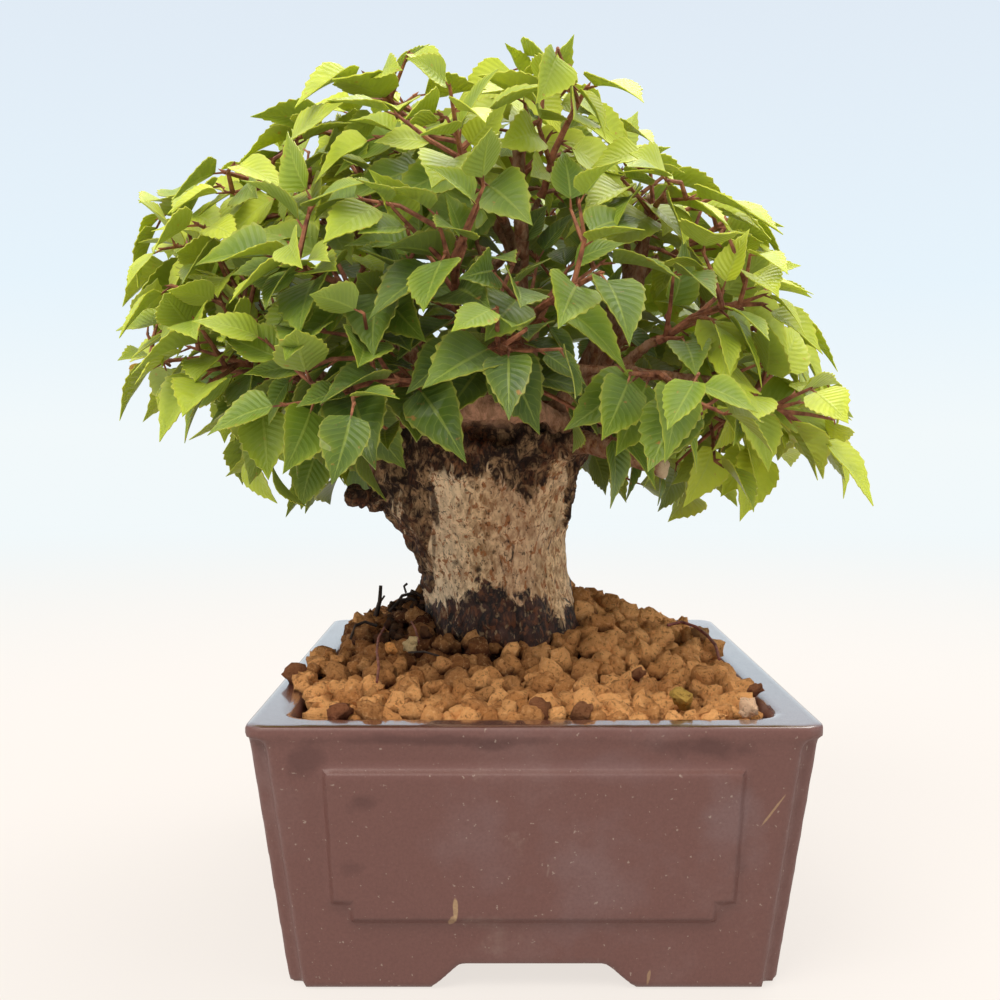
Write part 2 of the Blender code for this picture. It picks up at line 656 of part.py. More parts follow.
def point_on(points, share):
    """The point at a share of the way along a row of points, counted by steps."""
    at = share * (len(points) - 1)
    step = min(int(at), len(points) - 2)
    return points[step].lerp(points[step + 1], at - step)


def leaf_outline():
    """The flat blade's points in shares of its length: base, one side, tip, other side, then the midrib."""
    right = [(t, LEAF_HALF_WIDTH * w) for t, w in LEAF_SIDE]
    left = [(t, -w) for t, w in reversed(right)]
    return [(0.0, 0.0), *right, (1.0, 0.0), *left, (LEAF_MIDRIB, 0.0)]


def leaf_points(leaf, thick):
    """The blade's upper points and lower points in space, arched along the midrib and folded up from it."""
    across = unit(leaf["normal"].cross(leaf["direction"]))
    upper, lower = [], []
    for t, w in leaf_outline():
        bend = LEAF_FOLD * abs(w) - LEAF_ARCH * t * t
        point = leaf["base"] + (leaf["direction"] * t + across * w + leaf["normal"] * bend) * leaf["length"]
        upper.append(point + leaf["normal"] * thick / 2)
        lower.append(point - leaf["normal"] * thick / 2)
    return upper, lower


def leaf_faces():
    """The closed blade's triangles: a fan round the midrib point on each face, and the walls between them."""
    count = len(leaf_outline())
    rib = count - 1
    faces = []
    for k in range(rib):
        after = (k + 1) % rib
        faces.append((rib, k, after))
        faces.append((count + rib, count + after, count + k))
        faces.append((k, count + k, count + after))
        faces.append((k, count + after, after))
    return faces


def bent(leaf, pitch, yaw):
    """The same leaf swung about its base, up or down by pitch and sideways by yaw, in degrees."""
    across = unit(leaf["normal"].cross(leaf["direction"]))
    turn = Quaternion(leaf["normal"], math.radians(yaw)) @ Quaternion(across, math.radians(pitch))
    return {**leaf, "direction": unit(turn @ leaf["direction"]), "normal": unit(turn @ leaf["normal"])}


def box_of(points):
    low = Vector(min(p[k] for p in points) for k in range(3))
    high = Vector(max(p[k] for p in points) for k in range(3))
    return low, high


def boxes_meet(a, b):
    return all(a[0][k] <= b[1][k] and b[0][k] <= a[1][k] for k in range(3))


def wood_tree(points, radii):
    """A square tube round a row of points, the gap a leaf keeps to it included, for the crossing test."""
    corners, faces = [], []
    for k, (point, radius) in enumerate(zip(points, radii)):
        ahead = unit(points[min(k + 1, len(points) - 1)] - points[max(k - 1, 0)])
        first = unit(ahead.orthogonal()) * (radius + LEAF_GAP)
        second = ahead.cross(first)
        corners += [point + first, point + second, point - first, point - second]
    for k in range(len(points) - 1):
        for side in range(4):
            after = (side + 1) % 4
            faces.append((4 * k + side, 4 * k + after, 4 * k + 4 + after, 4 * k + 4 + side))
    return BVHTree.FromPolygons(corners, faces), box_of(corners)


def blocked(index, tree, outer, box, taken):
    """Whether anything is in the blade's way: of its own twigs, only what the blade meets past its base."""
    return any(boxes_meet(box, other_box) and other.overlap(outer if owner == index else tree)
               for owner, other, other_box in taken)


def crown_plan():
    """The wood and every spray, with each leaf that would cross something bent clear, or else left out."""
    wood, sprays = limb_plan()
    plans = [spray_plan(index, spray) for index, spray in enumerate(sprays)]
    taken = [(None, *wood_tree(branch["points"], branch["radii"])) for branch in wood]
    for index, plan in enumerate(plans):
        taken += [(index, *wood_tree(twig["points"], twig["radii"])) for twig in plan["twigs"]]
    for index, plan in enumerate(plans):
        kept = []
        for leaf in plan["leaves"]:
            for pitch, yaw in BENDS:
                tried = bent(leaf, pitch, yaw)
                upper, lower = leaf_points(tried, LEAF_THICK + 2 * LEAF_GAP)
                tree = BVHTree.FromPolygons(upper + lower, leaf_faces())
                past_base = [face for face in leaf_faces() if not BASE & set(face)]
                outer = BVHTree.FromPolygons(upper + lower, past_base)
                box = box_of(upper + lower)
                if box[0].z > CROWN_FLOOR and not blocked(index, tree, outer, box, taken):
                    kept.append(tried)
                    taken.append((None, tree, box))
                    break
        plan["leaves"] = kept
    return wood, plans


def make_tree(branches, into, finish):
    """The trunk with its limbs and branchlets, one solid of wood."""
    trunk = trunk_loft("trunk", into)
    wood = [tube(branch["name"], branch["points"], branch["radii"], int(branch["main"]), into)
            for branch in branches]
    callus = [Vector(point) * MM for point in CALLUS_PATH]
    wood.append(tube("callus", callus, [CALLUS_RADIUS * share for share in CALLUS_SWELL], 1, into))
    combine(trunk, wood, "UNION", "MANIFOLD")
    bpy.ops.mesh.primitive_uv_sphere_add(segments=8, ring_count=5, radius=1.0, location=HOLLOW_MIDDLE)
    hollow = bpy.context.object
    hollow.scale = HOLLOW_HALF
    combine(trunk, [hollow], "DIFFERENCE", "MANIFOLD")
    trunk.data.materials.clear()
    trunk.data.materials.append(finish)
    return trunk


def make_leaf(name, leaf, into):
    upper, lower = leaf_points(leaf, LEAF_THICK)
    mesh = bpy.data.meshes.new(name)
    mesh.from_pydata(upper + lower, [], leaf_faces())
    bm = bmesh.new()
    bm.from_mesh(mesh)
    bmesh.ops.recalc_face_normals(bm, faces=bm.faces)
    bm.to_mesh(mesh)
    bm.free()
    return place(name, mesh, into)


def make_spray(name, plan, into, finish):
    """One leafy spray: its twigs and leaves, fused into one solid."""
    first, *rest = plan["twigs"]
    spray = tube(name, first["points"], first["radii"], 0, into)
    pieces = [tube(f"{name}_twig_{k}", twig["points"], twig["radii"], 0, into) for k, twig in enumerate(rest)]
    pieces += [make_leaf(f"{name}_leaf_{k}", leaf, into) for k, leaf in enumerate(plan["leaves"])]
    combine(spray, pieces, "UNION", "MANIFOLD")
    spray.data.materials.clear()
    spray.data.materials.append(finish)
    return spray


def centre_on_origin(nodes):
    """Moves every node so that the bounding box stands with the middle of its foot on the origin."""
    bpy.context.view_layer.update()
    corners = [node.matrix_world @ vertex.co for node in nodes for vertex in node.data.vertices]
    shift = Vector([-(min(c[k] for c in corners) + max(c[k] for c in corners)) / 2 for k in range(2)] + [0.0])
    for node in nodes:
        node.location += shift


def main():
    clear_scene()
    parts = collection("korean_hornbeam_bonsai")
    clay = material("clay", (0.115, 0.055, 0.048), 0.42)
    plastic = material("plastic", (0.02, 0.05, 0.03), 0.5)
    akadama = material("akadama", (0.38, 0.18, 0.07), 0.95)
    bark = material("bark", (0.30, 0.21, 0.13), 0.85)
    dark_wood = material("dark_wood", (0.03, 0.02, 0.015), 0.9)
    leaf_green = material("leaf", (0.13, 0.27, 0.03), 0.45)

    nodes = [make_pot(parts, clay)]
    nodes += [make_screen(f"drain_screen_{k + 1}", side, parts, plastic) for k, side in enumerate((-1, 1))]
    hole = trunk_loft("hole", parts, grow=SOCKET_GAP, top=SOCKET_TOP, relief=False)
    stick_hole = make_stick("stick_hole", parts, grow=2 * CLEARANCE)
    nodes.append(make_soil(parts, akadama, [hole, stick_hole]))
    nodes.append(make_stick("dead_stick", parts, finish=dark_wood))
    wood, plans = crown_plan()
    nodes.append(make_tree(wood, parts, bark))
    for index, plan in enumerate(plans):
        nodes.append(make_spray(f"spray_{index + 1:02d}", plan, parts, leaf_green))
    centre_on_origin(nodes)


main()
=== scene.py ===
import math
import random
from contextlib import contextmanager

import bpy
import numpy as np
from mathutils import Matrix, Quaternion, Vector, noise
from mathutils.bvhtree import BVHTree


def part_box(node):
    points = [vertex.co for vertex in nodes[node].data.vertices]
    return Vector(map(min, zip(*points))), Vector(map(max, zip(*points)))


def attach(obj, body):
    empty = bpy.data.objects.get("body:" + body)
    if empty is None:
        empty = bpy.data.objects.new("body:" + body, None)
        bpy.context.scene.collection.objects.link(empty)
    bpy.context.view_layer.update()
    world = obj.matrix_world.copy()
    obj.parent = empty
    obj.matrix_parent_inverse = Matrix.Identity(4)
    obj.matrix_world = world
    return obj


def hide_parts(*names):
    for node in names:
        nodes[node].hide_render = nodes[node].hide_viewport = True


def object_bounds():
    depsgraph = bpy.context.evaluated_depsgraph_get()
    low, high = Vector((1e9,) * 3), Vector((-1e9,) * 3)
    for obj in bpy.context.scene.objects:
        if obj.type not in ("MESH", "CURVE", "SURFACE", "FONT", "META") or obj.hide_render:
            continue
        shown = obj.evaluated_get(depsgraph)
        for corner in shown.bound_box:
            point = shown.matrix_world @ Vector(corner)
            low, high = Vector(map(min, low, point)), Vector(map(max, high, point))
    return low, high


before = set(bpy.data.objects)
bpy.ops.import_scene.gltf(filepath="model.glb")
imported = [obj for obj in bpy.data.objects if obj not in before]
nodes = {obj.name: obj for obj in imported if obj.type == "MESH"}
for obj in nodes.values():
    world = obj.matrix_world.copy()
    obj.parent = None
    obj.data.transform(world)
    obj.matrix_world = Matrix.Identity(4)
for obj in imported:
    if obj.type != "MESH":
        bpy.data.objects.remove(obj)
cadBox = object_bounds()
mm = 0.001
potLow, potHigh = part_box("pot")
potMiddle = Vector(((potLow.x + potHigh.x) / 2, (potLow.y + potHigh.y) / 2, 0.0))
print("Frame loaded:", len(nodes), "nodes")


# Small helpers that every piece uses

def deselectAll():
    if bpy.context.object and bpy.context.object.mode != "OBJECT":
        bpy.ops.object.mode_set(mode="OBJECT")
    bpy.ops.object.select_all(action="DESELECT")


def activate(piece):
    deselectAll()
    piece.select_set(True)
    bpy.context.view_layer.objects.active = piece


@contextmanager
def editing(piece, selected="SELECT"):  # edit mode on a piece, with all of it selected, or as it was with None
    activate(piece)
    bpy.ops.object.mode_set(mode="EDIT")
    if selected:
        bpy.ops.mesh.select_all(action=selected)
    yield
    bpy.ops.object.mode_set(mode="OBJECT")


def newObject(name, data):
    piece = bpy.data.objects.new(name, data)
    bpy.context.scene.collection.objects.link(piece)
    return piece


def applyAll(piece):
    activate(piece)
    for modifier in list(piece.modifiers):
        bpy.ops.object.modifier_apply(modifier=modifier.name)


def oneSkin(piece, voxel, soften, rounds):  # a single soft skin round all that the piece holds
    remesh = piece.modifiers.new("oneSkin", "REMESH")
    remesh.mode = "VOXEL"
    remesh.voxel_size = voxel
    smooth = piece.modifiers.new("soften", "SMOOTH")
    smooth.factor = soften
    smooth.iterations = rounds
    applyAll(piece)


def joinInto(piece, others):
    activate(piece)
    for other in others:
        other.select_set(True)
    bpy.ops.object.join()


def mergedCopy(node, name):
    piece = newObject(name, nodes[node].data.copy())
    piece.data.materials.clear()
    with editing(piece):
        bpy.ops.mesh.remove_doubles(threshold=0.004 * mm)
    return piece


def tubeMesh(name, tubes, resolution, smooth=False):  # round tubes, each through its points with their radii
    curve = bpy.data.curves.new(name, "CURVE")
    curve.dimensions = "3D"
    curve.bevel_depth = 1.0
    curve.bevel_resolution = resolution
    curve.use_fill_caps = True
    for points, radii in tubes:
        spline = curve.splines.new("NURBS" if smooth and len(points) > 3 else "POLY")
        spline.points.add(len(points) - 1)
        spline.use_endpoint_u = True
        for point, place, radius in zip(spline.points, points, radii):
            point.co = (*place, 1.0)
            point.radius = radius
    activate(newObject(name, curve))
    bpy.ops.object.convert(target="MESH")
    return bpy.context.object


def smoothByAngle(piece, degrees):
    activate(piece)
    bpy.ops.object.shade_smooth_by_angle(angle=math.radians(degrees))


def standFor(piece, slot, *replaced):
    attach(piece, "root")
    if replaced:
        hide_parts(*replaced)


def pointArray(mesh, kind="co"):
    points = np.empty(len(mesh.vertices) * 3)
    mesh.vertices.foreach_get(kind, points)
    return points.reshape(-1, 3)


def setPoints(mesh, points):
    mesh.vertices.foreach_set("co", np.asarray(points, dtype=float).ravel())
    mesh.update()


def paint(mesh, name, values, domain="POINT"):  # a colour attribute that a material reads
    layer = mesh.color_attributes.new(name, "FLOAT_COLOR", domain)
    layer.data.foreach_set("color", values.ravel())


def step(low, high, value):  # 0 at low, 1 at high, and a soft rise between them
    share = min(1.0, max(0.0, (value - low) / (high - low)))
    return share * share * (3 - 2 * share)


def stepMm(low, high, value):
    return step(low * mm, high * mm, value)


# Material helpers: put adds one node, and links or sets each of its inputs

def wire(tree, node, inputs):
    for name, value in inputs.items():
        if isinstance(value, bpy.types.NodeSocket):
            tree.links.new(value, node.inputs[name])
        else:
            node.inputs[name].default_value = value
    return node


def put(tree, kind, inputs=None, **settings):
    node = tree.nodes.new("ShaderNode" + kind)
    for name, value in settings.items():
        setattr(node, name, value)
    return wire(tree, node, inputs or {})


def math2(tree, operation, first, second, clamp=False):
    return put(tree, "Math", {0: first, 1: second}, operation=operation, use_clamp=clamp).outputs[0]


def plus(tree, first, second, clamp=False):
    return math2(tree, "ADD", first, second, clamp)


def minus(tree, first, second, clamp=False):
    return math2(tree, "SUBTRACT", first, second, clamp)


def times(tree, first, second):
    return math2(tree, "MULTIPLY", first, second)


def unsigned(tree, value):
    return math2(tree, "ABSOLUTE", value, 0.0)


def mixed(tree, factor, first, second):
    pair = [colour if isinstance(colour, bpy.types.NodeSocket) else (*colour, 1.0) for colour in (first, second)]
    return put(tree, "Mix", {0: factor, 6: pair[0], 7: pair[1]}, data_type="RGBA").outputs[2]  # its colour sockets


def ranged(tree, value, low, high, toLow=0.0, toHigh=1.0, smooth=False):
    return put(tree, "MapRange", {0: value, 1: low, 2: high, 3: toLow, 4: toHigh},
               interpolation_type="SMOOTHSTEP" if smooth else "LINEAR").outputs[0]


def laidOver(tree, colour, mask, shade, share=1.0, low=0.0, high=1.0):
    return mixed(tree, ranged(tree, mask, low, high, 0.0, share), colour, shade)


# Layers of colour: each has its mask and colour, then its share and the mask's values at which it starts and is
# full, where these are not 1, 0 and 1
def layered(tree, colour, masks, layers, colours):
    for mask, name, *limits in layers:
        colour = laidOver(tree, colour, masks[mask], colours[name], *limits)
    return colour


def noiseAt(tree, place, scale, detail=4.0, roughness=0.55, stretch=None, distortion=0.0):
    if stretch:
        place = put(tree, "Mapping", {"Vector": place, "Scale": stretch}).outputs[0]
    return put(tree, "TexNoise", {"Vector": place, "Scale": scale, "Detail": detail, "Roughness": roughness,
                                  "Distortion": distortion}).outputs["Fac"]


def noisesAt(tree, place, noises):
    return {name: noiseAt(tree, place, *values) for name, values in noises.items()}


# Ragged marks over a colour, each with its middle and half sizes in mm, its slant and its strength
def marked(tree, place, colour, marks, shade, ragged=0.6, fine=330.0, core=0.72):
    for centre, radii, slant, strength in marks:
        laid = {"Vector": place, "Location": tuple(potMiddle + Vector(centre) * mm),
                "Rotation": (0.0, math.radians(slant), 0.0), "Scale": tuple(Vector(radii) * mm)}
        at = put(tree, "Mapping", laid, vector_type="TEXTURE").outputs[0]
        far = put(tree, "VectorMath", {0: at}, operation="LENGTH").outputs["Value"]
        wavy = times(tree, minus(tree, noiseAt(tree, place, fine), 0.5), ragged * 2)
        colour = laidOver(tree, colour, plus(tree, far, wavy), shade, strength, 1.0, core)
    return colour


def fromMiddle(tree, place):  # places measured from the middle of the pot
    return put(tree, "Mapping", {"Vector": place, "Location": tuple(-potMiddle)}).outputs[0]


def axes(tree, vector):
    return put(tree, "SeparateXYZ", {0: vector}).outputs


def upward(tree):  # how much the surface faces up
    return axes(tree, put(tree, "NewGeometry").outputs["Normal"])[2]


def painted(tree, name):  # the three values of a painted colour
    return put(tree, "SeparateColor", {0: put(tree, "Attribute", attribute_name=name).outputs["Color"]}).outputs


def newGroup(name, numbers, outputs):  # a node group with a Vector and numbers going in
    tree = bpy.data.node_groups.new(name, "ShaderNodeTree")
    tree.interface.new_socket("Vector", in_out="INPUT", socket_type="NodeSocketVector")
    for label, value in numbers.items():
        tree.interface.new_socket(label, in_out="INPUT", socket_type="NodeSocketFloat").default_value = value
    for label in outputs:
        tree.interface.new_socket(label, in_out="OUTPUT", socket_type="NodeSocketFloat")
    return tree, tree.nodes.new("NodeGroupInput").outputs, tree.nodes.new("NodeGroupOutput")


def newMaterial(name, roughness=0.6, **sockets):
    material = bpy.data.materials.new(name)
    material.use_nodes = True
    tree = material.node_tree
    shader = tree.nodes["Principled BSDF"]
    shader.inputs["Roughness"].default_value = roughness
    for label, value in sockets.items():
        shader.inputs[label.replace("_", " ")].default_value = value
    place = put(tree, "TexCoord").outputs["Object"]
    return material, tree, shader, place


def bump(tree, height, strength, distance, under=None):  # under is a bump that this one lies on
    inputs = {"Height": height, "Strength": strength, "Distance": distance}
    if under is not None:
        inputs["Normal"] = under
    return put(tree, "Bump", inputs).outputs["Normal"]


# Shared effects: fine grain, blotches, and what faces up: dust that settles on the twigs, and a painted sheen on the
# leaves

def buildGrainGroup():
    tree, given, out = newGroup("fineGrain", {"Scale": 1000.0, "Contrast": 0.5}, ["Mask", "Height"])
    fine = noiseAt(tree, given["Vector"], given["Scale"], 6.0, 0.65)
    half = times(tree, given["Contrast"], 0.5)
    wire(tree, out, {"Mask": ranged(tree, fine, minus(tree, 0.5, half), plus(tree, 0.5, half)), "Height": fine})
    return tree


def buildBlotchGroup():
    tree, given, out = newGroup("blotches", {"Scale": 30.0, "Amount": 0.5, "Edge": 0.1}, ["Mask"])
    large = noiseAt(tree, given["Vector"], given["Scale"], 5.0, 0.6)
    level = ranged(tree, given["Amount"], 0.0, 1.0, 0.78, 0.22)
    wire(tree, out, {"Mask": ranged(tree, large, level, plus(tree, level, given["Edge"]), smooth=True)})
    return tree


def buildDustAndSheenGroup():
    tree, given, out = newGroup("dustAndSheenOnTop", {"Amount": 0.5}, ["Mask"])
    facing = ranged(tree, upward(tree), 0.2, 0.95, smooth=True)
    broken = ranged(tree, noiseAt(tree, given["Vector"], 240.0, 5.0, 0.7), 0.35, 0.65)
    wire(tree, out, {"Mask": times(tree, times(tree, facing, broken), given["Amount"])})
    return tree


grainGroup = buildGrainGroup()
blotchGroup = buildBlotchGroup()
dustAndSheenGroup = buildDustAndSheenGroup()


def grain(tree, place, scale, contrast=0.5):
    return put(tree, "Group", {"Vector": place, "Scale": scale, "Contrast": contrast},
               node_tree=grainGroup).outputs


def blotches(tree, place, scale, amount, edge=0.1):
    return put(tree, "Group", {"Vector": place, "Scale": scale, "Amount": amount, "Edge": edge},
               node_tree=blotchGroup).outputs["Mask"]


def dustAndSheen(tree, place, amount):
    return put(tree, "Group", {"Vector": place, "Amount": amount}, node_tree=dustAndSheenGroup).outputs["Mask"]


# Camera, floor and light

studio = {
    "lens": 45.86, "sensor": 36.0, "nearest": 0.01, "cameraTilt": 86.79,
    "cameraPlace": (-7.1 * mm, -334.0 * mm, 119.9 * mm), "aim": 0.11,
    "floorSize": 60.0, "floorLevel": -0.0002, "floorNear": (0.13, 0.122, 0.117), "paler": 0.97,
    "nearGlow": (0.76, 0.714, 0.668), "farGlow": (0.887, 0.947, 0.965), "fade": (0.05, 1.3),
    # the sky: its lowest colour, then between which rises it turns into another; the last is above the picture
    "skyLow": (0.792, 0.8455, 0.862), "skyStrength": 1.12,
    "skyBands": [(0.0, 0.11, (0.71, 0.805, 0.870)), (0.11, 0.34, (0.66, 0.73, 0.81)),
                 (0.36, 0.70, (0.88, 0.85, 0.80))],
    # each lamp: name, place from the pot's middle, size, power and colour
    "lamps": [("keyLight", (-0.55, -0.75, 1.15), 0.8, 16.0, (1.0, 0.965, 0.90)),
              ("topLight", (0.25, 0.45, 1.25), 1.0, 14.0, (1.0, 0.975, 0.94)),
              ("fillLight", (1.1, -0.55, 0.55), 0.9, 4.0, (1.0, 0.97, 0.93))],
}


def buildCamera(style):
    data = bpy.data.cameras.new("photoCamera")
    data.lens = style["lens"]
    data.sensor_width = style["sensor"]
    data.clip_start = style["nearest"]
    camera = newObject("photoCamera", data)
    camera.location = potMiddle + Vector(style["cameraPlace"])
    camera.rotation_euler = (math.radians(style["cameraTilt"]), 0.0, 0.0)
    bpy.context.scene.camera = camera
    bpy.context.scene.view_settings.view_transform = "Standard"


def buildFloor(style):
    deselectAll()
    bpy.ops.mesh.primitive_plane_add(size=style["floorSize"], location=(0, 0, style["floorLevel"]))
    floor = bpy.context.object
    floor.name = "studioFloor"
    material, tree, shader, place = newMaterial("paleFloor", 0.9, Specular_IOR_Level=0.0, Emission_Strength=1.0)
    far = put(tree, "VectorMath", {0: place}, operation="LENGTH").outputs["Value"]
    away = ranged(tree, far, *style["fade"], smooth=True)
    paler = [style["paler"] * value for value in style["floorNear"]]
    near = mixed(tree, grain(tree, place, 6.0, 0.9)["Mask"], style["floorNear"], paler)
    wire(tree, shader, {"Base Color": mixed(tree, away, near, (0.0, 0.0, 0.0)),
                        "Emission Color": mixed(tree, away, style["nearGlow"], style["farGlow"])})
    floor.data.materials.append(material)


def buildLight(style):
    world = bpy.data.worlds.new("paleRoom")
    bpy.context.scene.world = world
    world.use_nodes = True
    tree = world.node_tree
    rise = axes(tree, put(tree, "TexCoord").outputs["Generated"])[2]
    sky = style["skyLow"]
    for low, high, colour in style["skyBands"]:
        sky = mixed(tree, ranged(tree, rise, low, high), sky, colour)
    wire(tree, tree.nodes["Background"], {"Color": sky, "Strength": style["skyStrength"]})
    for name, place, size, power, colour in style["lamps"]:
        lamp = bpy.data.lights.new(name, "AREA")
        lamp.size = size
        lamp.energy = power
        lamp.color = colour
        holder = newObject(name, lamp)
        holder.location = potMiddle + Vector(place)
        aim = Vector((0, 0, style["aim"])) + potMiddle - holder.location
        holder.rotation_euler = aim.to_track_quat("-Z", "Y").to_euler()


buildCamera(studio)
buildFloor(studio)
buildLight(studio)
print("Studio: camera, floor, sky and", len(studio["lamps"]), "lamps")


# The pot

potStyle = {
    "voxel": 1.0 * mm, "soften": 0.5, "rounds": 1, "wetFrom": 57.0 * mm, "rimTop": 58.0 * mm,
    "clay": (0.140, 0.058, 0.046), "greyed": (0.180, 0.100, 0.088), "dark": (0.060, 0.020, 0.016),
    "paintedReflection": (0.175, 0.105, 0.100), "ochre": (0.50, 0.33, 0.16), "pale": (0.42, 0.33, 0.26),
    # marks on the front wall: colour and edge, then the middle, half sizes, slant and strength of each; the first,
    # pale ones are a painted reflection of soft light
    "marks": [
        ("paintedReflection", (1.1, 110.0, 0.2), [
            ((13.3, -72, 24.0), (15, 20, 18), 15, 0.40), ((-12.0, -72, 33.0), (10, 20, 15), -20, 0.30),
            ((41.1, -72, 38.0), (8.0, 20, 13), 0, 0.55), ((16.0, -72, 50.0), (16, 20, 4), 0, 0.30)]),
        ("dark", (0.9, 200.0, 0.35), [
            ((-47.9, -72, 51.4), (5.0, 20, 4.6), 20, 0.5), ((-36.0, -72, 42.7), (4.2, 20, 2.5), 0, 0.5),
            ((-38.0, -72, 28.2), (3.6, 20, 2.2), 0, 0.35), ((-8.8, -74, 54.6), (5.0, 20, 1.6), 0, 0.6),
            ((35.3, -74, 54.0), (13.0, 20, 2.6), 0, 0.6), ((-20.0, -74, 55.8), (32.0, 20, 1.4), 0, 0.55)]),
        ("ochre", (0.6, 330.0, 0.72), [
            ((-16.5, -72, 19.0), (0.6, 20, 3.0), 0, 0.6), ((49.7, -72, 40.0), (0.28, 20, 4.2), 35, 0.45),
            ((24.7, -70, 2.7), (0.4, 20, 2.0), 8, 0.40), ((-17.2, -72, 16.2), (0.8, 20, 1.6), 30, 0.5)])],
    # what lies over the clay, as layers
    "layers": [("stains", "dark", 0.45), ("smears", "pale", 0.22), ("grain", "dark", 0.35),
               ("specks", "pale", 0.40, 0.69, 0.74), ("scratches", "pale", 0.35), ("wet", "dark", 0.5)],
    # the raised field of each wall: its half width at the top, by how much less at the bottom, its two heights, the
    # side of the square that is cut from its lower corners, and how far out a wall counts as front or back
    "fieldFront": 43.5 * mm, "fieldSide": 57.5 * mm, "fieldNarrower": 1.3 * mm, "fieldFrom": 16.1 * mm,
    "fieldTo": 48.9 * mm, "fieldCut": 4.0 * mm, "fieldEdge": 0.75 * mm, "fieldDeep": 0.5 * mm,
    "frontWall": (61.9 * mm, 62.1 * mm),
}


def clayMaterial(style):
    material, tree, shader, place = newMaterial("purpleClay", 0.45, Specular_IOR_Level=0.42, Coat_Roughness=0.08,
                                                Coat_IOR=1.8)
    wet = times(tree, ranged(tree, axes(tree, place)[2], style["wetFrom"], style["rimTop"], smooth=True),
                ranged(tree, upward(tree), 0.6, 0.95))
    fine = grain(tree, place, 1500.0, 0.5)
    scratchy = ranged(tree, noiseAt(tree, place, 130.0, 3.0, 0.6, (1.0, 1.0, 0.24)), 0.665, 0.70)
    masks = {"stains": blotches(tree, place, 19.0, 0.20, 0.06), "smears": blotches(tree, place, 46.0, 0.30, 0.14),
             "grain": fine["Mask"], "specks": noiseAt(tree, place, 900.0, 2.0), "wet": wet,
             "scratches": times(tree, scratchy, blotches(tree, place, 40.0, 0.42, 0.1))}
    colour = mixed(tree, blotches(tree, place, 30.0, 0.5, 0.30), style["clay"], style["greyed"])
    # the marks: pale patches of painted reflection, then dark marks and ochre streaks
    for shade, edge, marks in style["marks"]:
        colour = marked(tree, place, colour, marks, style[shade], *edge)
    colour = layered(tree, colour, masks, style["layers"], style)
    matt = minus(tree, ranged(tree, fine["Mask"], 0.0, 1.0, 0.42, 0.54), times(tree, masks["stains"], 0.08))
    patchy = ranged(tree, noiseAt(tree, place, 60.0, 3.0), 0.30, 0.42, 0.85, 1.0)
    relief = plus(tree, fine["Height"], times(tree, noiseAt(tree, place, 60.0, 2.0), 3.0))
    field = bump(tree, raisedField(tree, place, style), 1.0, style["fieldDeep"])
    wire(tree, shader, {"Base Color": colour, "Coat Weight": times(tree, wet, patchy),
                        "Roughness": minus(tree, matt, times(tree, wet, 0.32), True),
                        "Normal": bump(tree, relief, 0.25, 0.25 * mm, field)})
    return material


def raisedField(tree, place, style):  # 1 on the raised field of each wall, for the crisp line of its edge
    at = axes(tree, fromMiddle(tree, place))
    x, y, z = unsigned(tree, at[0]), unsigned(tree, at[1]), at[2]
    front = ranged(tree, y, *style["frontWall"])
    side = minus(tree, 1.0, front)
    out = plus(tree, times(tree, x, front), times(tree, y, side))
    half = plus(tree, times(tree, style["fieldFront"], front), times(tree, style["fieldSide"], side))
    narrower = ranged(tree, z, style["fieldTo"], style["fieldFrom"], 0.0, style["fieldNarrower"])
    beyond = minus(tree, out, minus(tree, half, narrower))
    above, below = minus(tree, z, style["fieldTo"]), minus(tree, style["fieldFrom"], z)
    cut = math2(tree, "MINIMUM", plus(tree, beyond, style["fieldCut"]), plus(tree, below, style["fieldCut"]))
    for other in (above, below, cut):
        beyond = math2(tree, "MAXIMUM", beyond, other)
    return ranged(tree, beyond, style["fieldEdge"], -style["fieldEdge"], smooth=True)


def buildPot(style):
    pot = mergedCopy("pot", "glazedPot")
    oneSkin(pot, style["voxel"], style["soften"], style["rounds"])
    bpy.ops.object.shade_smooth()
    pot.data.materials.append(clayMaterial(style))
    standFor(pot, "clay", "pot")
    print("Pot:", len(pot.data.polygons), "faces")


buildPot(potStyle)


# The trunk with its limbs, bark and root base

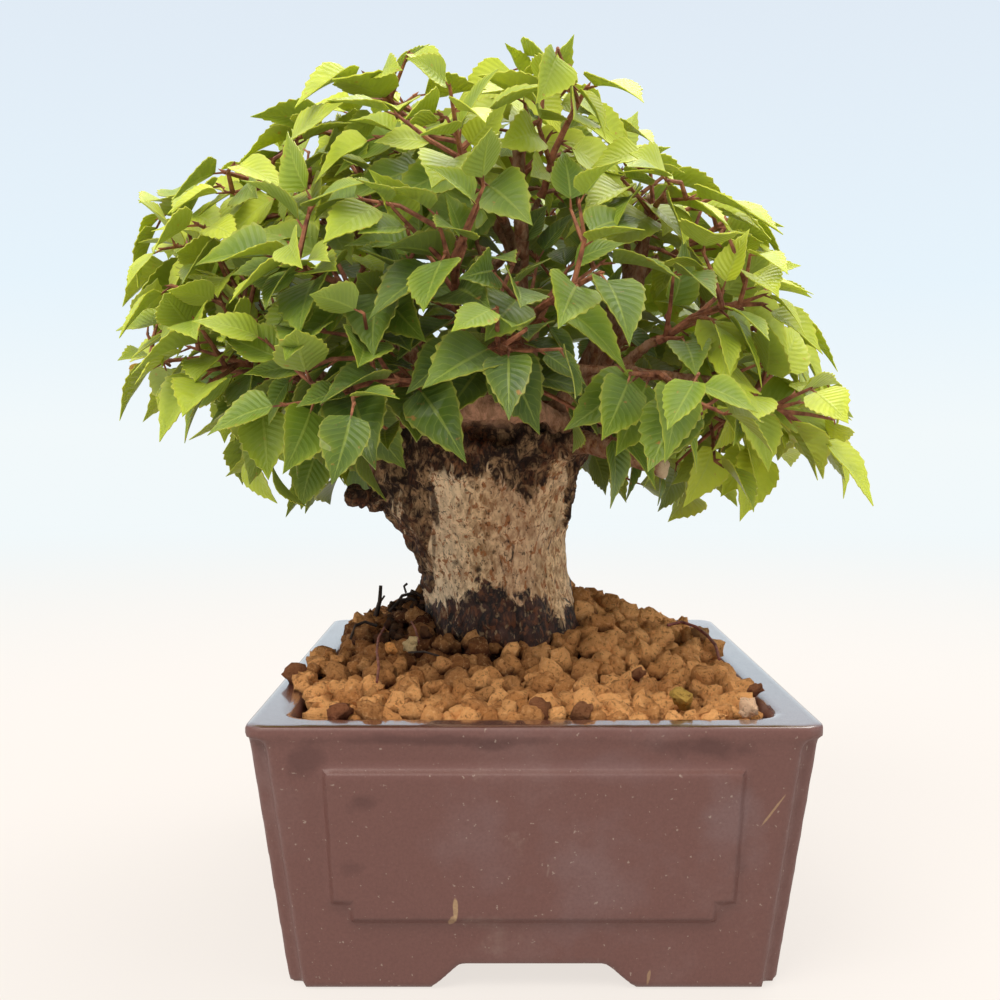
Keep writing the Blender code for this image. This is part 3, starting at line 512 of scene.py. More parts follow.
trunkStyle = {
    "voxel": 0.66 * mm, "soften": 0.6, "rounds": 4, "axis": (-10.0 * mm, 1.5 * mm),
    # more wood than the solid has: points, radii, and whether its end is a pale cut
    "moreWood": [
        ([(-2, -20, 150), (-2, -27, 168), (-3, -31, 189)], [2.0, 1.8, 1.4], True),
        ([(-30, -24, 121), (-44, -36, 126), (-55, -42, 125)], [1.5, 1.2, 1.1], True),
        ([(-8, -18, 126), (-7, -30, 137), (18, -34, 134), (42, -38, 131)], [2.2, 1.7, 1.4, 1.0], False),
        ([(8, -14, 118), (20, -24, 115), (33, -29, 110)], [3.4, 2.8, 2.2], True),
        ([(-30, -2, 104), (-39, -6, 101.5), (-45, -8, 103)], [2.4, 1.6, 1.4], False),
        ([(-12, -12, 120), (0, -14, 134), (1, -16, 150)], [3.2, 2.5, 2.0], False),
        ([(12, -8, 124), (26, -20, 148), (29, -26, 176)], [2.2, 1.6, 1.1], True),
        ([(-20, -4, 120), (-36, -14, 150), (-42, -20, 178)], [2.4, 1.7, 1.1], False),
    ],
    # the hollow under the limbs: middle, radius, depth and height of its lip, its inside painted near black as
    # painted shade; then the roll of callus beside it
    "knot": (3.2, -26.5, 120.3), "knotRadius": 1.7 * mm, "knotDeep": 2.4 * mm, "knotLip": 0.7 * mm,
    "callusAcross": ((-26, -14), (4, 13)), "callusHigh": ((120, 122), (129, 131)), "callusFront": (14, 19),
    # where the corky top ends below and the wet base ends above, all round and on the front by x and height
    "roughFrom": 107.0 * mm, "roughEdge": [(-26, 110.4), (-21.9, 108.4), (-17, 108), (-10.8, 109.4), (-5.9, 106.6),
                                           (-0.7, 101.0), (2.8, 105.4), (5.5, 111.7), (8, 113)],
    "baseTop": 76.0 * mm, "wetEdge": [(-26, 73), (-24.4, 73.3), (-20.4, 77.7), (-16, 76), (-11.5, 82.4), (-7.6, 79.2),
                                      (-1.7, 76.3), (4, 79.7), (7.7, 72.8), (12.7, 73.8)],
    # limits in mm between which each zone of bark sets in, and for its sides how far round
    "front": (4, -6), "limbReach": (28, 32), "limbHigh": (104, 110), "allLimb": (121, 126),
    "leftSide": (0.66, 0.98), "leftEdge": (-20, -26.5), "leftHigh": (70, 80), "leftFuller": (98, 108),
    "rightSide": (0.90, 1.02), "rightEdge": (8.2, 11), "rightHigh": (90, 97),
    "pale": (0.90, 0.61, 0.335), "buff": (0.31, 0.150, 0.055), "chalk": (0.98, 0.76, 0.50),
    "tan": (0.55, 0.325, 0.190), "fleck": (0.32, 0.105, 0.032), "cork": (0.026, 0.010, 0.004),
    "ridge": (0.40, 0.235, 0.115), "rust": (0.175, 0.058, 0.020), "olive": (0.13, 0.10, 0.035),
    "soakedAndShaded": (0.010, 0.004, 0.0025), "wine": (0.060, 0.021, 0.012), "limb": (0.33, 0.180, 0.100),
    "callus": (0.62, 0.33, 0.20), "lichen": (0.36, 0.23, 0.115), "cutWood": (0.62, 0.46, 0.28),
    "streaks": [((-23.3, -16, 100.5), (1.1, 12, 6.0), -6, 0.85), ((-23.9, -16, 90.0), (0.6, 12, 5.0), 0, 0.6),
                ((-12.5, -24, 84.5), (1.5, 12, 1.6), 0, 0.9), ((-18.0, -22, 86.0), (1.8, 12, 1.4), 20, 0.7)],
    # noises: scale, detail, roughness, how they are drawn out upwards, and distortion
    "noises": {
        "fibres": (640.0, 5.0, 0.62, (1.0, 1.0, 0.52), 0.45), "cracks": (560.0, 5.0, 0.62, (1.0, 1.0, 0.42), 1.8),
        "spots": (640.0, 3.0, 0.62, (1.0, 1.0, 0.6), 0.5), "coarse": (290.0, 7.0, 0.62, (1.0, 1.0, 0.7), 0.8),
        "ragged": (210.0, 8.0, 0.62, (1.0, 1.0, 0.5), 1.2), "flecks": (1150.0, 5.0, 0.62, (1.0, 1.0, 0.6), 0.4),
        "chalky": (75.0, 5.0, 0.6, (1.0, 1.0, 0.7)), "mossy": (60.0,)},
    # bark of each kind: its name, its first colour and its layers
    "barks": [
        ("smooth", "buff", [("fibres", "pale", 1.0, 0.40, 0.60), ("mossy", "olive", 0.35, 0.52, 0.66),
                            ("chalky", "chalk", 0.45, 0.50, 0.66), ("across", "tan", 0.50, 11 * mm, 2 * mm),
                            ("across", "chalk", 0.50, 9 * mm, 17 * mm), ("cracks", "rust", 0.40, 0.55, 0.66),
                            ("spots", "fleck", 0.85, 0.56, 0.61), ("flecks", "cork", 0.75, 0.58, 0.63)]),
        ("rusty", "cork", [("fibres", "rust", 1.0, 0.40, 0.60)]),
        ("corky", "cork", [("coarse", "ridge", 1.0, 0.45, 0.60), ("patches", "rusty"),
                           ("cracks", "soakedAndShaded", 0.85, 0.50, 0.60)]),
        ("wetBase", "soakedAndShaded", [("coarse", "wine", 1.0, 0.44, 0.62), ("fibres", "rust", 0.7, 0.51, 0.62),
                               ("spots", "lichen", 0.60, 0.57, 0.66)]),
        ("limbBark", "limb", [("fibres", "rust", 1.0, 0.40, 0.62), ("cracks", "cork", 0.55, 0.55, 0.64),
                              ("spots", "buff", 0.6, 0.57, 0.64)]),
        ("rolled", "callus", [("fibres", "limb", 1.0, 0.36, 0.60)])],
    # where each kind lies, as layers over the smooth bark; the last is painted shade inside the hollow
    "zones": [("corkZone", "corky"), ("wetZone", "wetBase"), ("limbZone", "limbBark"),
              ("callusZone", "rolled", 0.85), ("cutZone", "cutWood", 0.9), ("knotZone", "soakedAndShaded")],
}


def barkZones(place, style):  # how corky, how near the wet base and how much a limb the bark is at a place
    x, y, z = place.x - style["axis"][0], place.y - style["axis"][1], place.z
    angle = math.atan2(y, x)
    wander = noise.noise(Vector((3 * math.cos(angle), 3 * math.sin(angle), z * 60)))
    limb = stepMm(*style["limbReach"], math.hypot(x, y)) * stepMm(*style["limbHigh"], z)
    limb = max(limb, stepMm(*style["allLimb"], z))
    front = stepMm(*style["front"], y)
    toRight = 0.5 * math.cos(angle + 0.10)  # from -0.5 on the left edge to 0.5 on the right one
    left = step(*style["leftSide"], 0.5 - toRight + 0.16 * wander) * (1 - front)
    left += front * stepMm(*style["leftEdge"], place.x + 1.5 * mm * wander)
    left *= stepMm(*style["leftHigh"], z) * (0.80 + 0.2 * stepMm(*style["leftFuller"], z))
    right = step(*style["rightSide"], 0.5 + toRight + 0.06 * wander) * (1 - front)
    right = (right + front * stepMm(*style["rightEdge"], place.x)) * stepMm(*style["rightHigh"], z)
    vee = style["roughFrom"] + 4 * mm * wander
    vee += front * (np.interp(place.x / mm, *zip(*style["roughEdge"])) * mm - vee)
    above = step(vee - 6 * mm, vee + 6 * mm, z)
    jag = 5.0 * noise.noise(Vector((6 * math.cos(angle), 6 * math.sin(angle), 0.3))) + 3.0 * wander
    jag = style["baseTop"] + jag * mm
    jag += front * (np.interp(place.x / mm, *zip(*style["wetEdge"])) * mm - jag)
    wet = 1 - step(jag - 6 * mm, jag + 6 * mm, z)
    return max(left, right, above) * (1 - wet), wet, limb


def barkHeight(place, zones, style):  # how far the bark stands out, from noises that are finer by their factors
    cork, wet, limb = zones
    x, y, z = place.x - style["axis"][0], place.y - style["axis"][1], place.z
    angle = math.atan2(y, x)
    toRight = math.cos(angle)
    along = Vector((toRight * 2.6, math.sin(angle) * 2.6, z * 26))
    flutes = 0.60 * noise.noise(along * 1.3) + 0.30 * noise.noise(along * 3.4)
    grained = Vector((place.x * 300, place.y * 300, place.z * 120))
    fibres = 0.34 * noise.noise(grained) + 0.20 * noise.noise(place * 520)
    lumps = noise.turbulence(place * 170, 4, False, noise_basis="PERLIN_ORIGINAL")
    knobs = max(0.0, 1 - 2 * abs(noise.noise(place * 300)))
    lobes = abs(math.sin(4.5 * angle + 2.2 * noise.noise(place * 45)))
    leaner = 0.9 * step(0.55, 1.0, toRight) * stepMm(70, 80, z)
    fuller = 1.1 * step(0.6, 1.0, -toRight) - 0.5 * step(0.6, 1.0, toRight)
    pitted = 0.5 * noise.noise(place * 420)
    smooth = (flutes + fibres - leaner) * (1 - cork) * (1 - wet)
    rough = cork * (1.6 * lumps + 1.1 * knobs + 0.5 * noise.noise(place * 560) - 0.35 + fuller)
    base = wet * (1.6 * lobes + 0.9 * lumps + pitted - 0.6)
    wood = 0.56 * pitted + 0.42 * noise.noise(Vector((place.x * 170, place.y * 170, place.z * 90)))
    return ((smooth + rough + base) * (1 - limb) + wood * limb) * mm


def between(value, rise, fall):  # 0, then 1 between the rise and the fall, then 0 again, with soft steps
    return stepMm(*rise, value) * (1 - stepMm(*fall, value))


def shapeBark(trunk, style):
    mesh = trunk.data
    points, normals = pointArray(mesh), pointArray(mesh, "normal")
    zonesOf = np.ones((len(points), 4), dtype=np.float32)
    endsOf = np.zeros((len(points), 4), dtype=np.float32)
    offset = np.array(potMiddle)
    knot = Vector(style["knot"]) * mm
    cuts = [(Vector(wood[-1]) * mm, radii[-1] * mm) for wood, radii, cut in style["moreWood"] if cut]
    for k, (point, normal) in enumerate(zip(points, normals)):
        place = Vector(point - offset)
        zones = barkZones(place, style)
        out = barkHeight(place, zones, style)
        hole = 9.0  # how many radii from the middle of the hollow, or far from it behind the front
        if place.y < knot.y + 8 * mm:
            hole = math.hypot(place.x - knot.x, place.z - knot.z) / style["knotRadius"]
        if hole < 1.7:
            lip = step(0.6, 1.0, hole) * (1 - step(1.1, 1.6, hole))
            dent = style["knotDeep"] * (1 - step(0.45, 0.9, hole))
            out = out * step(1.0, 1.7, hole) - dent + style["knotLip"] * lip
        callus = between(place.x, *style["callusAcross"]) * between(place.z, *style["callusHigh"])
        # the inside of the hollow, painted near black as painted shade
        endsOf[k, 0] = 1 - step(0.5, 0.85, hole)
        endsOf[k, 1] = max(1 - step(1.1, 1.35, (place - end).length / radius) for end, radius in cuts)
        endsOf[k, 2] = callus * stepMm(*style["callusFront"], -place.y)
        points[k] = point + normal * out
        zonesOf[k, :3] = zones
    setPoints(mesh, points)
    paint(mesh, "barkZones", zonesOf)
    paint(mesh, "barkEnds", endsOf)


def barkMaterial(style):
    material, tree, shader, place = newMaterial("hornbeamBark", 0.85, Specular_IOR_Level=0.3)
    middle = fromMiddle(tree, place)
    masks = noisesAt(tree, middle, style["noises"])

    def frayed(zone, amount=2.4):  # a zone's soft edge broken up by a noise
        broken = times(tree, minus(tree, masks["ragged"], 0.5), amount)
        return ranged(tree, plus(tree, zone, broken), 0.38, 0.62)

    zones, ends = painted(tree, "barkZones"), painted(tree, "barkEnds")
    wet = frayed(zones[1], 3.6)
    masks.update(corkZone=frayed(zones[0]), wetZone=wet, limbZone=zones[2], knotZone=ends[0], cutZone=ends[1],
                 callusZone=ends[2], patches=blotches(tree, middle, 90.0, 0.66, 0.25),
                 across=unsigned(tree, plus(tree, axes(tree, middle)[0], 3 * mm)))
    colours = dict(style)
    for name, start, layers in style["barks"]:  # a later one may use an earlier one as its colour
        colours[name] = layered(tree, colours[start], masks, layers, colours)
    colour = marked(tree, place, colours["smooth"], style["streaks"], style["cork"])
    colour = layered(tree, colour, masks, style["zones"], colours)
    relief = plus(tree, masks["coarse"], times(tree, masks["cracks"], -0.9))
    relief = plus(tree, relief, times(tree, masks["fibres"], 0.7))
    wire(tree, shader, {"Base Color": colour, "Roughness": ranged(tree, wet, 0.0, 1.0, 0.85, 0.55),
                        "Normal": bump(tree, relief, 0.85, 1.0 * mm)})
    return material


def buildTrunk(style):
    trunk = mergedCopy("trunk", "hornbeamTrunk")
    more = [([Vector(point) * mm + potMiddle for point in points], [radius * mm for radius in radii])
            for points, radii, _ in style["moreWood"]]
    joinInto(trunk, [tubeMesh("moreWood", more, 3, True)])
    oneSkin(trunk, style["voxel"], style["soften"], style["rounds"])
    shapeBark(trunk, style)
    bpy.ops.object.shade_smooth()
    trunk.data.materials.append(barkMaterial(style))
    standFor(trunk, "bark", "trunk")
    print("Trunk:", len(trunk.data.polygons), "faces")


buildTrunk(trunkStyle)


# Twigs and roots: round tubes of one kind

def woodMaterial(name, dark, light, powder):
    material, tree, shader, place = newMaterial(name, 0.72, Specular_IOR_Level=0.3)
    colour = mixed(tree, ranged(tree, noiseAt(tree, place, 420.0, 4.0, 0.6), 0.35, 0.65), dark, light)
    wire(tree, shader, {"Base Color": mixed(tree, dustAndSheen(tree, place, powder), colour, (0.42, 0.28, 0.17)),
                        "Normal": bump(tree, grain(tree, place, 1800.0)["Height"], 0.5, 0.2 * mm)})
    return material


materials = {"twig": woodMaterial("redTwig", (0.120, 0.033, 0.016), (0.36, 0.135, 0.062), 0.25),
             "rootlet": woodMaterial("rootlet", (0.085, 0.018, 0.014), (0.28, 0.085, 0.060), 0.2),
             "deadWood": woodMaterial("deadWood", (0.012, 0.008, 0.006), (0.050, 0.028, 0.018), 0.05)}


def modelTubes(name, tubes, kind):
    piece = tubeMesh(name, tubes, 1)
    with editing(piece):
        bpy.ops.mesh.remove_doubles(threshold=0.002 * mm)
        bpy.ops.mesh.normals_make_consistent(inside=False)
    piece.data.materials.clear()
    piece.data.materials.append(materials[kind])
    return piece


# The soil: a rough bed with loose granules of baked clay on it

soilStyle = {
    "mouthHalf": (51.4 * mm, 65.4 * mm), "mouthCorner": 6.0 * mm, "edgeHeight": 56.6 * mm, "mound": 19.0 * mm,
    "moundMiddle": (-3.0 * mm, 15.0 * mm), "moundSpread": (46.0 * mm, 33.0 * mm),
    "bedCells": (44, 56), "bedSink": 3.0 * mm, "bedThick": 9.0 * mm, "bedRough": 1.2 * mm, "bedRoom": 0.5 * mm,
    "stump": (-5.8 * mm, 3.0 * mm, 20.4 * mm, 20.0 * mm), "variants": 8, "seed": 12,
    # granules in beds: how far above the soil's height, how far apart, and the share of places that are filled
    "beds": [(-2.8 * mm, 5.2 * mm, 0.95), (-0.3 * mm, 5.5 * mm, 0.88), (2.0 * mm, 7.2 * mm, 0.50)],
    "sizes": (3.4 * mm, 5.9 * mm), "unevenness": 1.0 * mm, "rightLower": 1.8 * mm,
    "ring": 84, "ringRoom": 2.6 * mm, "ringHeights": (-1.2, 1.6), "ringSizes": (3.4, 5.2),
    "mid": (0.50, 0.20, 0.058), "light": (0.92, 0.44, 0.155), "dampAndShade": (0.080, 0.020, 0.005),
    "crust": (0.95, 0.58, 0.27),
    # what lies over the middle tone, as layers; the damp colour also stands for painted shade, and the rough layer
    # paints shade into the pits
    "layers": [("light", "light"), ("dampAndShade", "dampAndShade"), ("dyed", "dye"),
               ("rough", "dampAndShade", 0.65, 0.47, 0.36), ("crust", "crust", 0.45)],
    # how damp a granule is near the trunk, at the back and at the left; how much less painted shade it has on the
    # right, as painted light; and how much painted shade darkens its underside
    "dampTrunk": 0.80, "dampBack": 0.15, "dampLeft": 0.40, "shadeRight": -0.25, "shadeUnderneath": 0.75,
    # single granules of another kind: middle, size and colour
    "oddOnes": [((33.2, -55.1, 60.4), 4.2, (0.50, 0.32, 0.06)), ((46.6, -60.6, 59.2), 4.0, (0.90, 0.60, 0.40)),
                ((-56.4, -29.0, 60.6), 4.7, (0.15, 0.048, 0.022)), ((-54.0, -35.0, 60.4), 3.4, (0.34, 0.14, 0.05)),
                ((1.9, -62.0, 58.6), 4.3, (0.15, 0.045, 0.022)), ((10.4, -62.0, 58.2), 4.6, (0.12, 0.034, 0.018)),
                ((-41.9, -62.0, 58.6), 3.8, (0.18, 0.055, 0.028)), ((25.3, -38.0, 62.4), 2.4, (0.10, 0.022, 0.014)),
                ((51.0, -46.6, 60.6), 2.6, (0.12, 0.028, 0.016)), ((46.0, 0.7, 65.8), 3.6, (0.34, 0.18, 0.07)),
                ((-29.6, -19.8, 65.8), 2.7, (0.74, 0.55, 0.28)), ((-28.6, -20.6, 67.4), 1.9, (0.70, 0.50, 0.24)),
                ((-34.0, -21.5, 65.4), 2.3, (0.85, 0.36, 0.10))],
    # granules that lie on the pot's left rim: x, y, height and size, each from and to, then their number
    "spill": ((-54.2, -51.0), (-42.0, 2.0), (59.4, 60.8), (2.2, 4.2), 22),
    # the heap of black humus beside the trunk: the same, with the height above the soil's
    "humus": ((-38.0, -25.0), (-12.0, 22.0), (1.6, 3.6), (1.0, 2.8), 80),
    "humusColours": [(0.016, 0.008, 0.005), (0.016, 0.008, 0.005), (0.050, 0.016, 0.008)],
    # loose roots on the granules: points, radius and kind
    "roots": [([(-37, -7, 68.5), (-37.8, -14.6, 67.2), (-37.3, -24, 65.4), (-35.7, -36, 63.6), (-35.5, -43, 61.5)],
               0.32, "rootlet"),
              ([(-29.9, -8, 70.2), (-28.6, -12.8, 69.2), (-27.4, -18, 66.5)], 0.28, "rootlet"),
              ([(37, -1, 68.2), (41, 1, 68.8), (44.5, -1, 67.8), (46.8, -6, 66.2), (47.6, -13, 65), (47.1, -22, 63)],
               0.42, "rootlet"),
              ([(-45.5, -9, 66), (-44.9, -3, 68.4), (-42.6, -1.4, 69.2), (-39.5, -1, 68)], 0.4, "deadWood"),
              ([(-36, 13, 71), (-34, 14.5, 74.0), (-30.5, 15, 74.8), (-27.4, 14, 73)], 0.45, "deadWood"),
              ([(-37, 8, 70.5), (-34.4, 10, 73.5), (-31, 9, 73.9), (-28, 10, 72)], 0.35, "deadWood"),
              ([(-33, 15, 74.8), (-33.6, 16, 76.4), (-32.7, 16, 77.2)], 0.35, "deadWood"),
              ([(-22, -26, 64.5), (-25.5, -27, 65.8), (-29.5, -25, 65.2)], 0.3, "deadWood")],
}


def soilHeight(x, y, style):
    dx = (x - style["moundMiddle"][0]) / style["moundSpread"][0]
    dy = (y - style["moundMiddle"][1]) / style["moundSpread"][1]
    return style["edgeHeight"] + style["mound"] * math.exp(-dx * dx - dy * dy)


def insideMouth(x, y, room, style):
    halfX, halfY = style["mouthHalf"]
    corner = style["mouthCorner"]
    if abs(x) >= halfX - room or abs(y) >= halfY - room:
        return False
    beyond = math.hypot(max(0.0, abs(x) - halfX + corner), max(0.0, abs(y) - halfY + corner))
    return beyond < corner - 0.5 * room


def nearStump(x, y, grow, style):
    middleX, middleY, halfX, halfY = style["stump"]
    return ((x - middleX) / (halfX + grow)) ** 2 + ((y - middleY) / (halfY + grow)) ** 2 < 1


def modelGranule(name, rng):
    deselectAll()
    bpy.ops.mesh.primitive_cube_add(size=1.0)
    granule = bpy.context.object
    granule.name = name
    with editing(granule):
        bpy.ops.mesh.subdivide(number_cuts=2, smoothness=0.0)
        bpy.ops.transform.tosphere(value=0.80)
    points = pointArray(granule.data)
    stretch = np.array([rng.uniform(0.85, 1.2), rng.uniform(0.8, 1.05), rng.uniform(0.7, 0.95)])
    start = Vector((rng.uniform(0, 50), rng.uniform(0, 50), rng.uniform(0, 50)))
    for k, point in enumerate(points):
        place = Vector(point)
        points[k] = point * (1 + 0.50 * noise.noise(place * 1.6 + start) + 0.46 * noise.noise(place * 4.6 + start))
    setPoints(granule.data, points * stretch)
    return granule


def akadamaMaterial(style):
    material, tree, shader, place = newMaterial("akadama", 0.95, Specular_IOR_Level=0.2)
    tint = painted(tree, "grainTint")
    dye = put(tree, "Attribute", attribute_name="grainDye").outputs
    rough = noiseAt(tree, place, 900.0, 6.0, 0.72)
    crust = times(tree, ranged(tree, rough, 0.55, 0.68), minus(tree, 1.0, dye["Alpha"]))
    masks = {"light": tint[0], "dampAndShade": tint[1], "dyed": dye["Alpha"], "rough": rough, "crust": crust}
    # the damp mask and colour carry painted shade as well as damp, and the rough pits are darkened as painted shade
    colour = layered(tree, style["mid"], masks, style["layers"], {**style, "dye": dye["Color"]})
    relief = plus(tree, times(tree, grain(tree, place, 2100.0, 0.6)["Height"], 0.30), rough)
    wire(tree, shader, {"Base Color": colour, "Normal": bump(tree, relief, 1.0, 1.5 * mm)})
    return material


def strewn(rng, across, along, heights, sizes, count):  # so many places between limits in mm, with a size each
    for _ in range(count):
        x, y = rng.uniform(*across) * mm, rng.uniform(*along) * mm
        yield x, y, rng.uniform(*heights) * mm, rng.uniform(*sizes) * mm


def scatterGranules(style, rng):  # middles, sizes and any colour of their own, in beds from the lowest up
    spots = []
    halfX, halfY = style["mouthHalf"]
    for k in range(style["ring"]):  # a row close to the wall all round
        turn = math.tau * k / style["ring"]
        x, y = (max(-1, min(1, 1.25 * side)) * (half - style["ringRoom"])
                for side, half in ((math.cos(turn), halfX), (math.sin(turn), halfY)))
        if insideMouth(x, y, 2.2 * mm, style):
            z = style["edgeHeight"] + rng.uniform(*style["ringHeights"]) * mm
            spots.append((Vector((x, y, z)), rng.uniform(*style["ringSizes"]) * mm, None))
    for lift, pitch, chance in style["beds"]:
        rowPitch = pitch * 0.87  # as in a close packing
        for row in range(int(2 * halfY / rowPitch) + 1):
            for column in range(int(2 * halfX / pitch) + 2):
                x = -halfX + (column + 0.5 * (row % 2)) * pitch + rng.uniform(-0.3, 0.3) * pitch
                y = -halfY + row * rowPitch + rng.uniform(-0.3, 0.3) * pitch
                size = rng.uniform(*style["sizes"])
                if rng.random() > chance or not insideMouth(x, y, size * 0.55, style):
                    continue
                if nearStump(x, y, -0.6 * mm, style):
                    continue
                z = soilHeight(x, y, style) + lift + rng.uniform(-1, 1) * style["unevenness"]
                z -= style["rightLower"] * stepMm(12, 36, x)
                spots.append((Vector((x, y, z)), size, None))
    spots += [(Vector(middle) * mm, size * mm, colour) for middle, size, colour in style["oddOnes"]]
    spots += [(Vector((x, y, z)), size, None) for x, y, z, size in strewn(rng, *style["spill"])]
    for x, y, lift, size in strewn(rng, *style["humus"]):
        spots.append((Vector((x, y, soilHeight(x, y, style) + lift)), size, rng.choice(style["humusColours"])))
    return spots


def modelBed(style):  # the ground that shows between the granules, painted dark as damp soil and as painted shade in the gaps
    deselectAll()
    across, along = style["bedCells"]
    bpy.ops.mesh.primitive_grid_add(x_subdivisions=across, y_subdivisions=along, size=2.0)
    bed = bpy.context.object
    bed.name = "akadamaSoil"
    points = pointArray(bed.data)
    half = [length - style["bedRoom"] for length in style["mouthHalf"]]
    corner = style["mouthCorner"]
    for k, (x, y, _) in enumerate(points):
        x, y = x * half[0], y * half[1]
        inner = Vector((abs(x) - half[0] + corner, abs(y) - half[1] + corner))
        if inner.x > 0 and inner.y > 0 and inner.length > corner:
            inner *= corner / inner.length
            x = math.copysign(half[0] - corner + inner.x, x)
            y = math.copysign(half[1] - corner + inner.y, y)
        rough = style["bedRough"] * noise.noise(Vector((x, y, 0)) * 260)
        points[k] = (x, y, soilHeight(x, y, style) - style["bedSink"] + rough)
    setPoints(bed.data, points)
    with editing(bed):
        bpy.ops.mesh.extrude_region_move(TRANSFORM_OT_translate={"value": (0, 0, -style["bedThick"])})
        bpy.ops.mesh.select_all(action="SELECT")
        bpy.ops.mesh.normals_make_consistent(inside=False)
    # very dark: damp soil with painted shade
    tintGrain(bed, 0.35, 0.95, None)
    return bed


# how damp a granule is by its place; the right side gets less, as painted light
def dampAndShadeAt(middle, style):
    middleX, middleY, _, radius = style["stump"]
    fromTrunk = abs(math.hypot(middle.x - middleX, middle.y - middleY) - radius)
    dampAndShade = style["dampTrunk"] * (1 - stepMm(0, 26, fromTrunk)) * stepMm(10, -25, middle.x)
    dampAndShade += style["dampBack"] * stepMm(0, 60, middle.y) + style["shadeRight"] * stepMm(0, 40, middle.x)
    return dampAndShade + style["dampLeft"] * stepMm(-20, -50, middle.x) * stepMm(-45, 10, middle.y)


def tintGrain(piece, light, dampAndShade, dye):  # dampAndShade, damp with painted shade, is one value or one for each point, dye a colour or nothing
    tint = np.ones((len(piece.data.vertices), 4), dtype=np.float32)
    tint[:, 0], tint[:, 1], tint[:, 2] = light, dampAndShade, 0.0
    colour = np.zeros_like(tint)
    if dye:
        colour[:] = (*dye, 0.85)
    paint(piece.data, "grainTint", tint)
    paint(piece.data, "grainDye", colour)


def buildSoil(style):
    rng = random.Random(style["seed"])
    soil = modelBed(style)
    masters = [modelGranule(f"granule{k}", rng) for k in range(style["variants"])]
    shapes = [pointArray(master.data) for master in masters]
    copies = []
    for middle, size, dye in scatterGranules(style, rng):
        pick = rng.randrange(len(masters))
        turn = Quaternion([rng.gauss(0, 1) for _ in range(4)]).normalized().to_matrix()
        mesh = masters[pick].data.copy()
        points = shapes[pick] @ np.array(turn).T
        setPoints(mesh, points * size + np.array(middle))
        granule = newObject("granule", mesh)
        # the lower side of each granule is painted darker, as painted shade
        under = np.clip((0.10 - points[:, 2]) / 0.45, 0.0, 1.0)
        dampAndShade = dampAndShadeAt(middle, style) + rng.uniform(-0.3, 0.3) + style["shadeUnderneath"] * under
        # a random tone, made lighter on the right as painted light
        light = min(1.0, rng.uniform(0.0, 1.0) + 0.3 * stepMm(0, 40, middle.x))
        tintGrain(granule, light, np.clip(dampAndShade, 0.0, 1.0), dye)
        copies.append(granule)
    for master in masters:
        bpy.data.objects.remove(master)
    joinInto(soil, copies)
    soil.data.materials.append(akadamaMaterial(style))
    strands = [modelTubes("root", [([Vector(point) * mm for point in points], [radius * mm] * len(points))], kind)
               for points, radius, kind in style["roots"]]
    joinInto(soil, strands)
    soil.data.transform(Matrix.Translation(potMiddle))
    smoothByAngle(soil, 70)
    standFor(soil, "akadama", "soil")
    print("Soil:", len(copies), "granules,", len(soil.data.polygons), "faces")


buildSoil(soilStyle)


# The crown: the same limbs, twigs and leaves as the solids, then more twigs and leaves between them

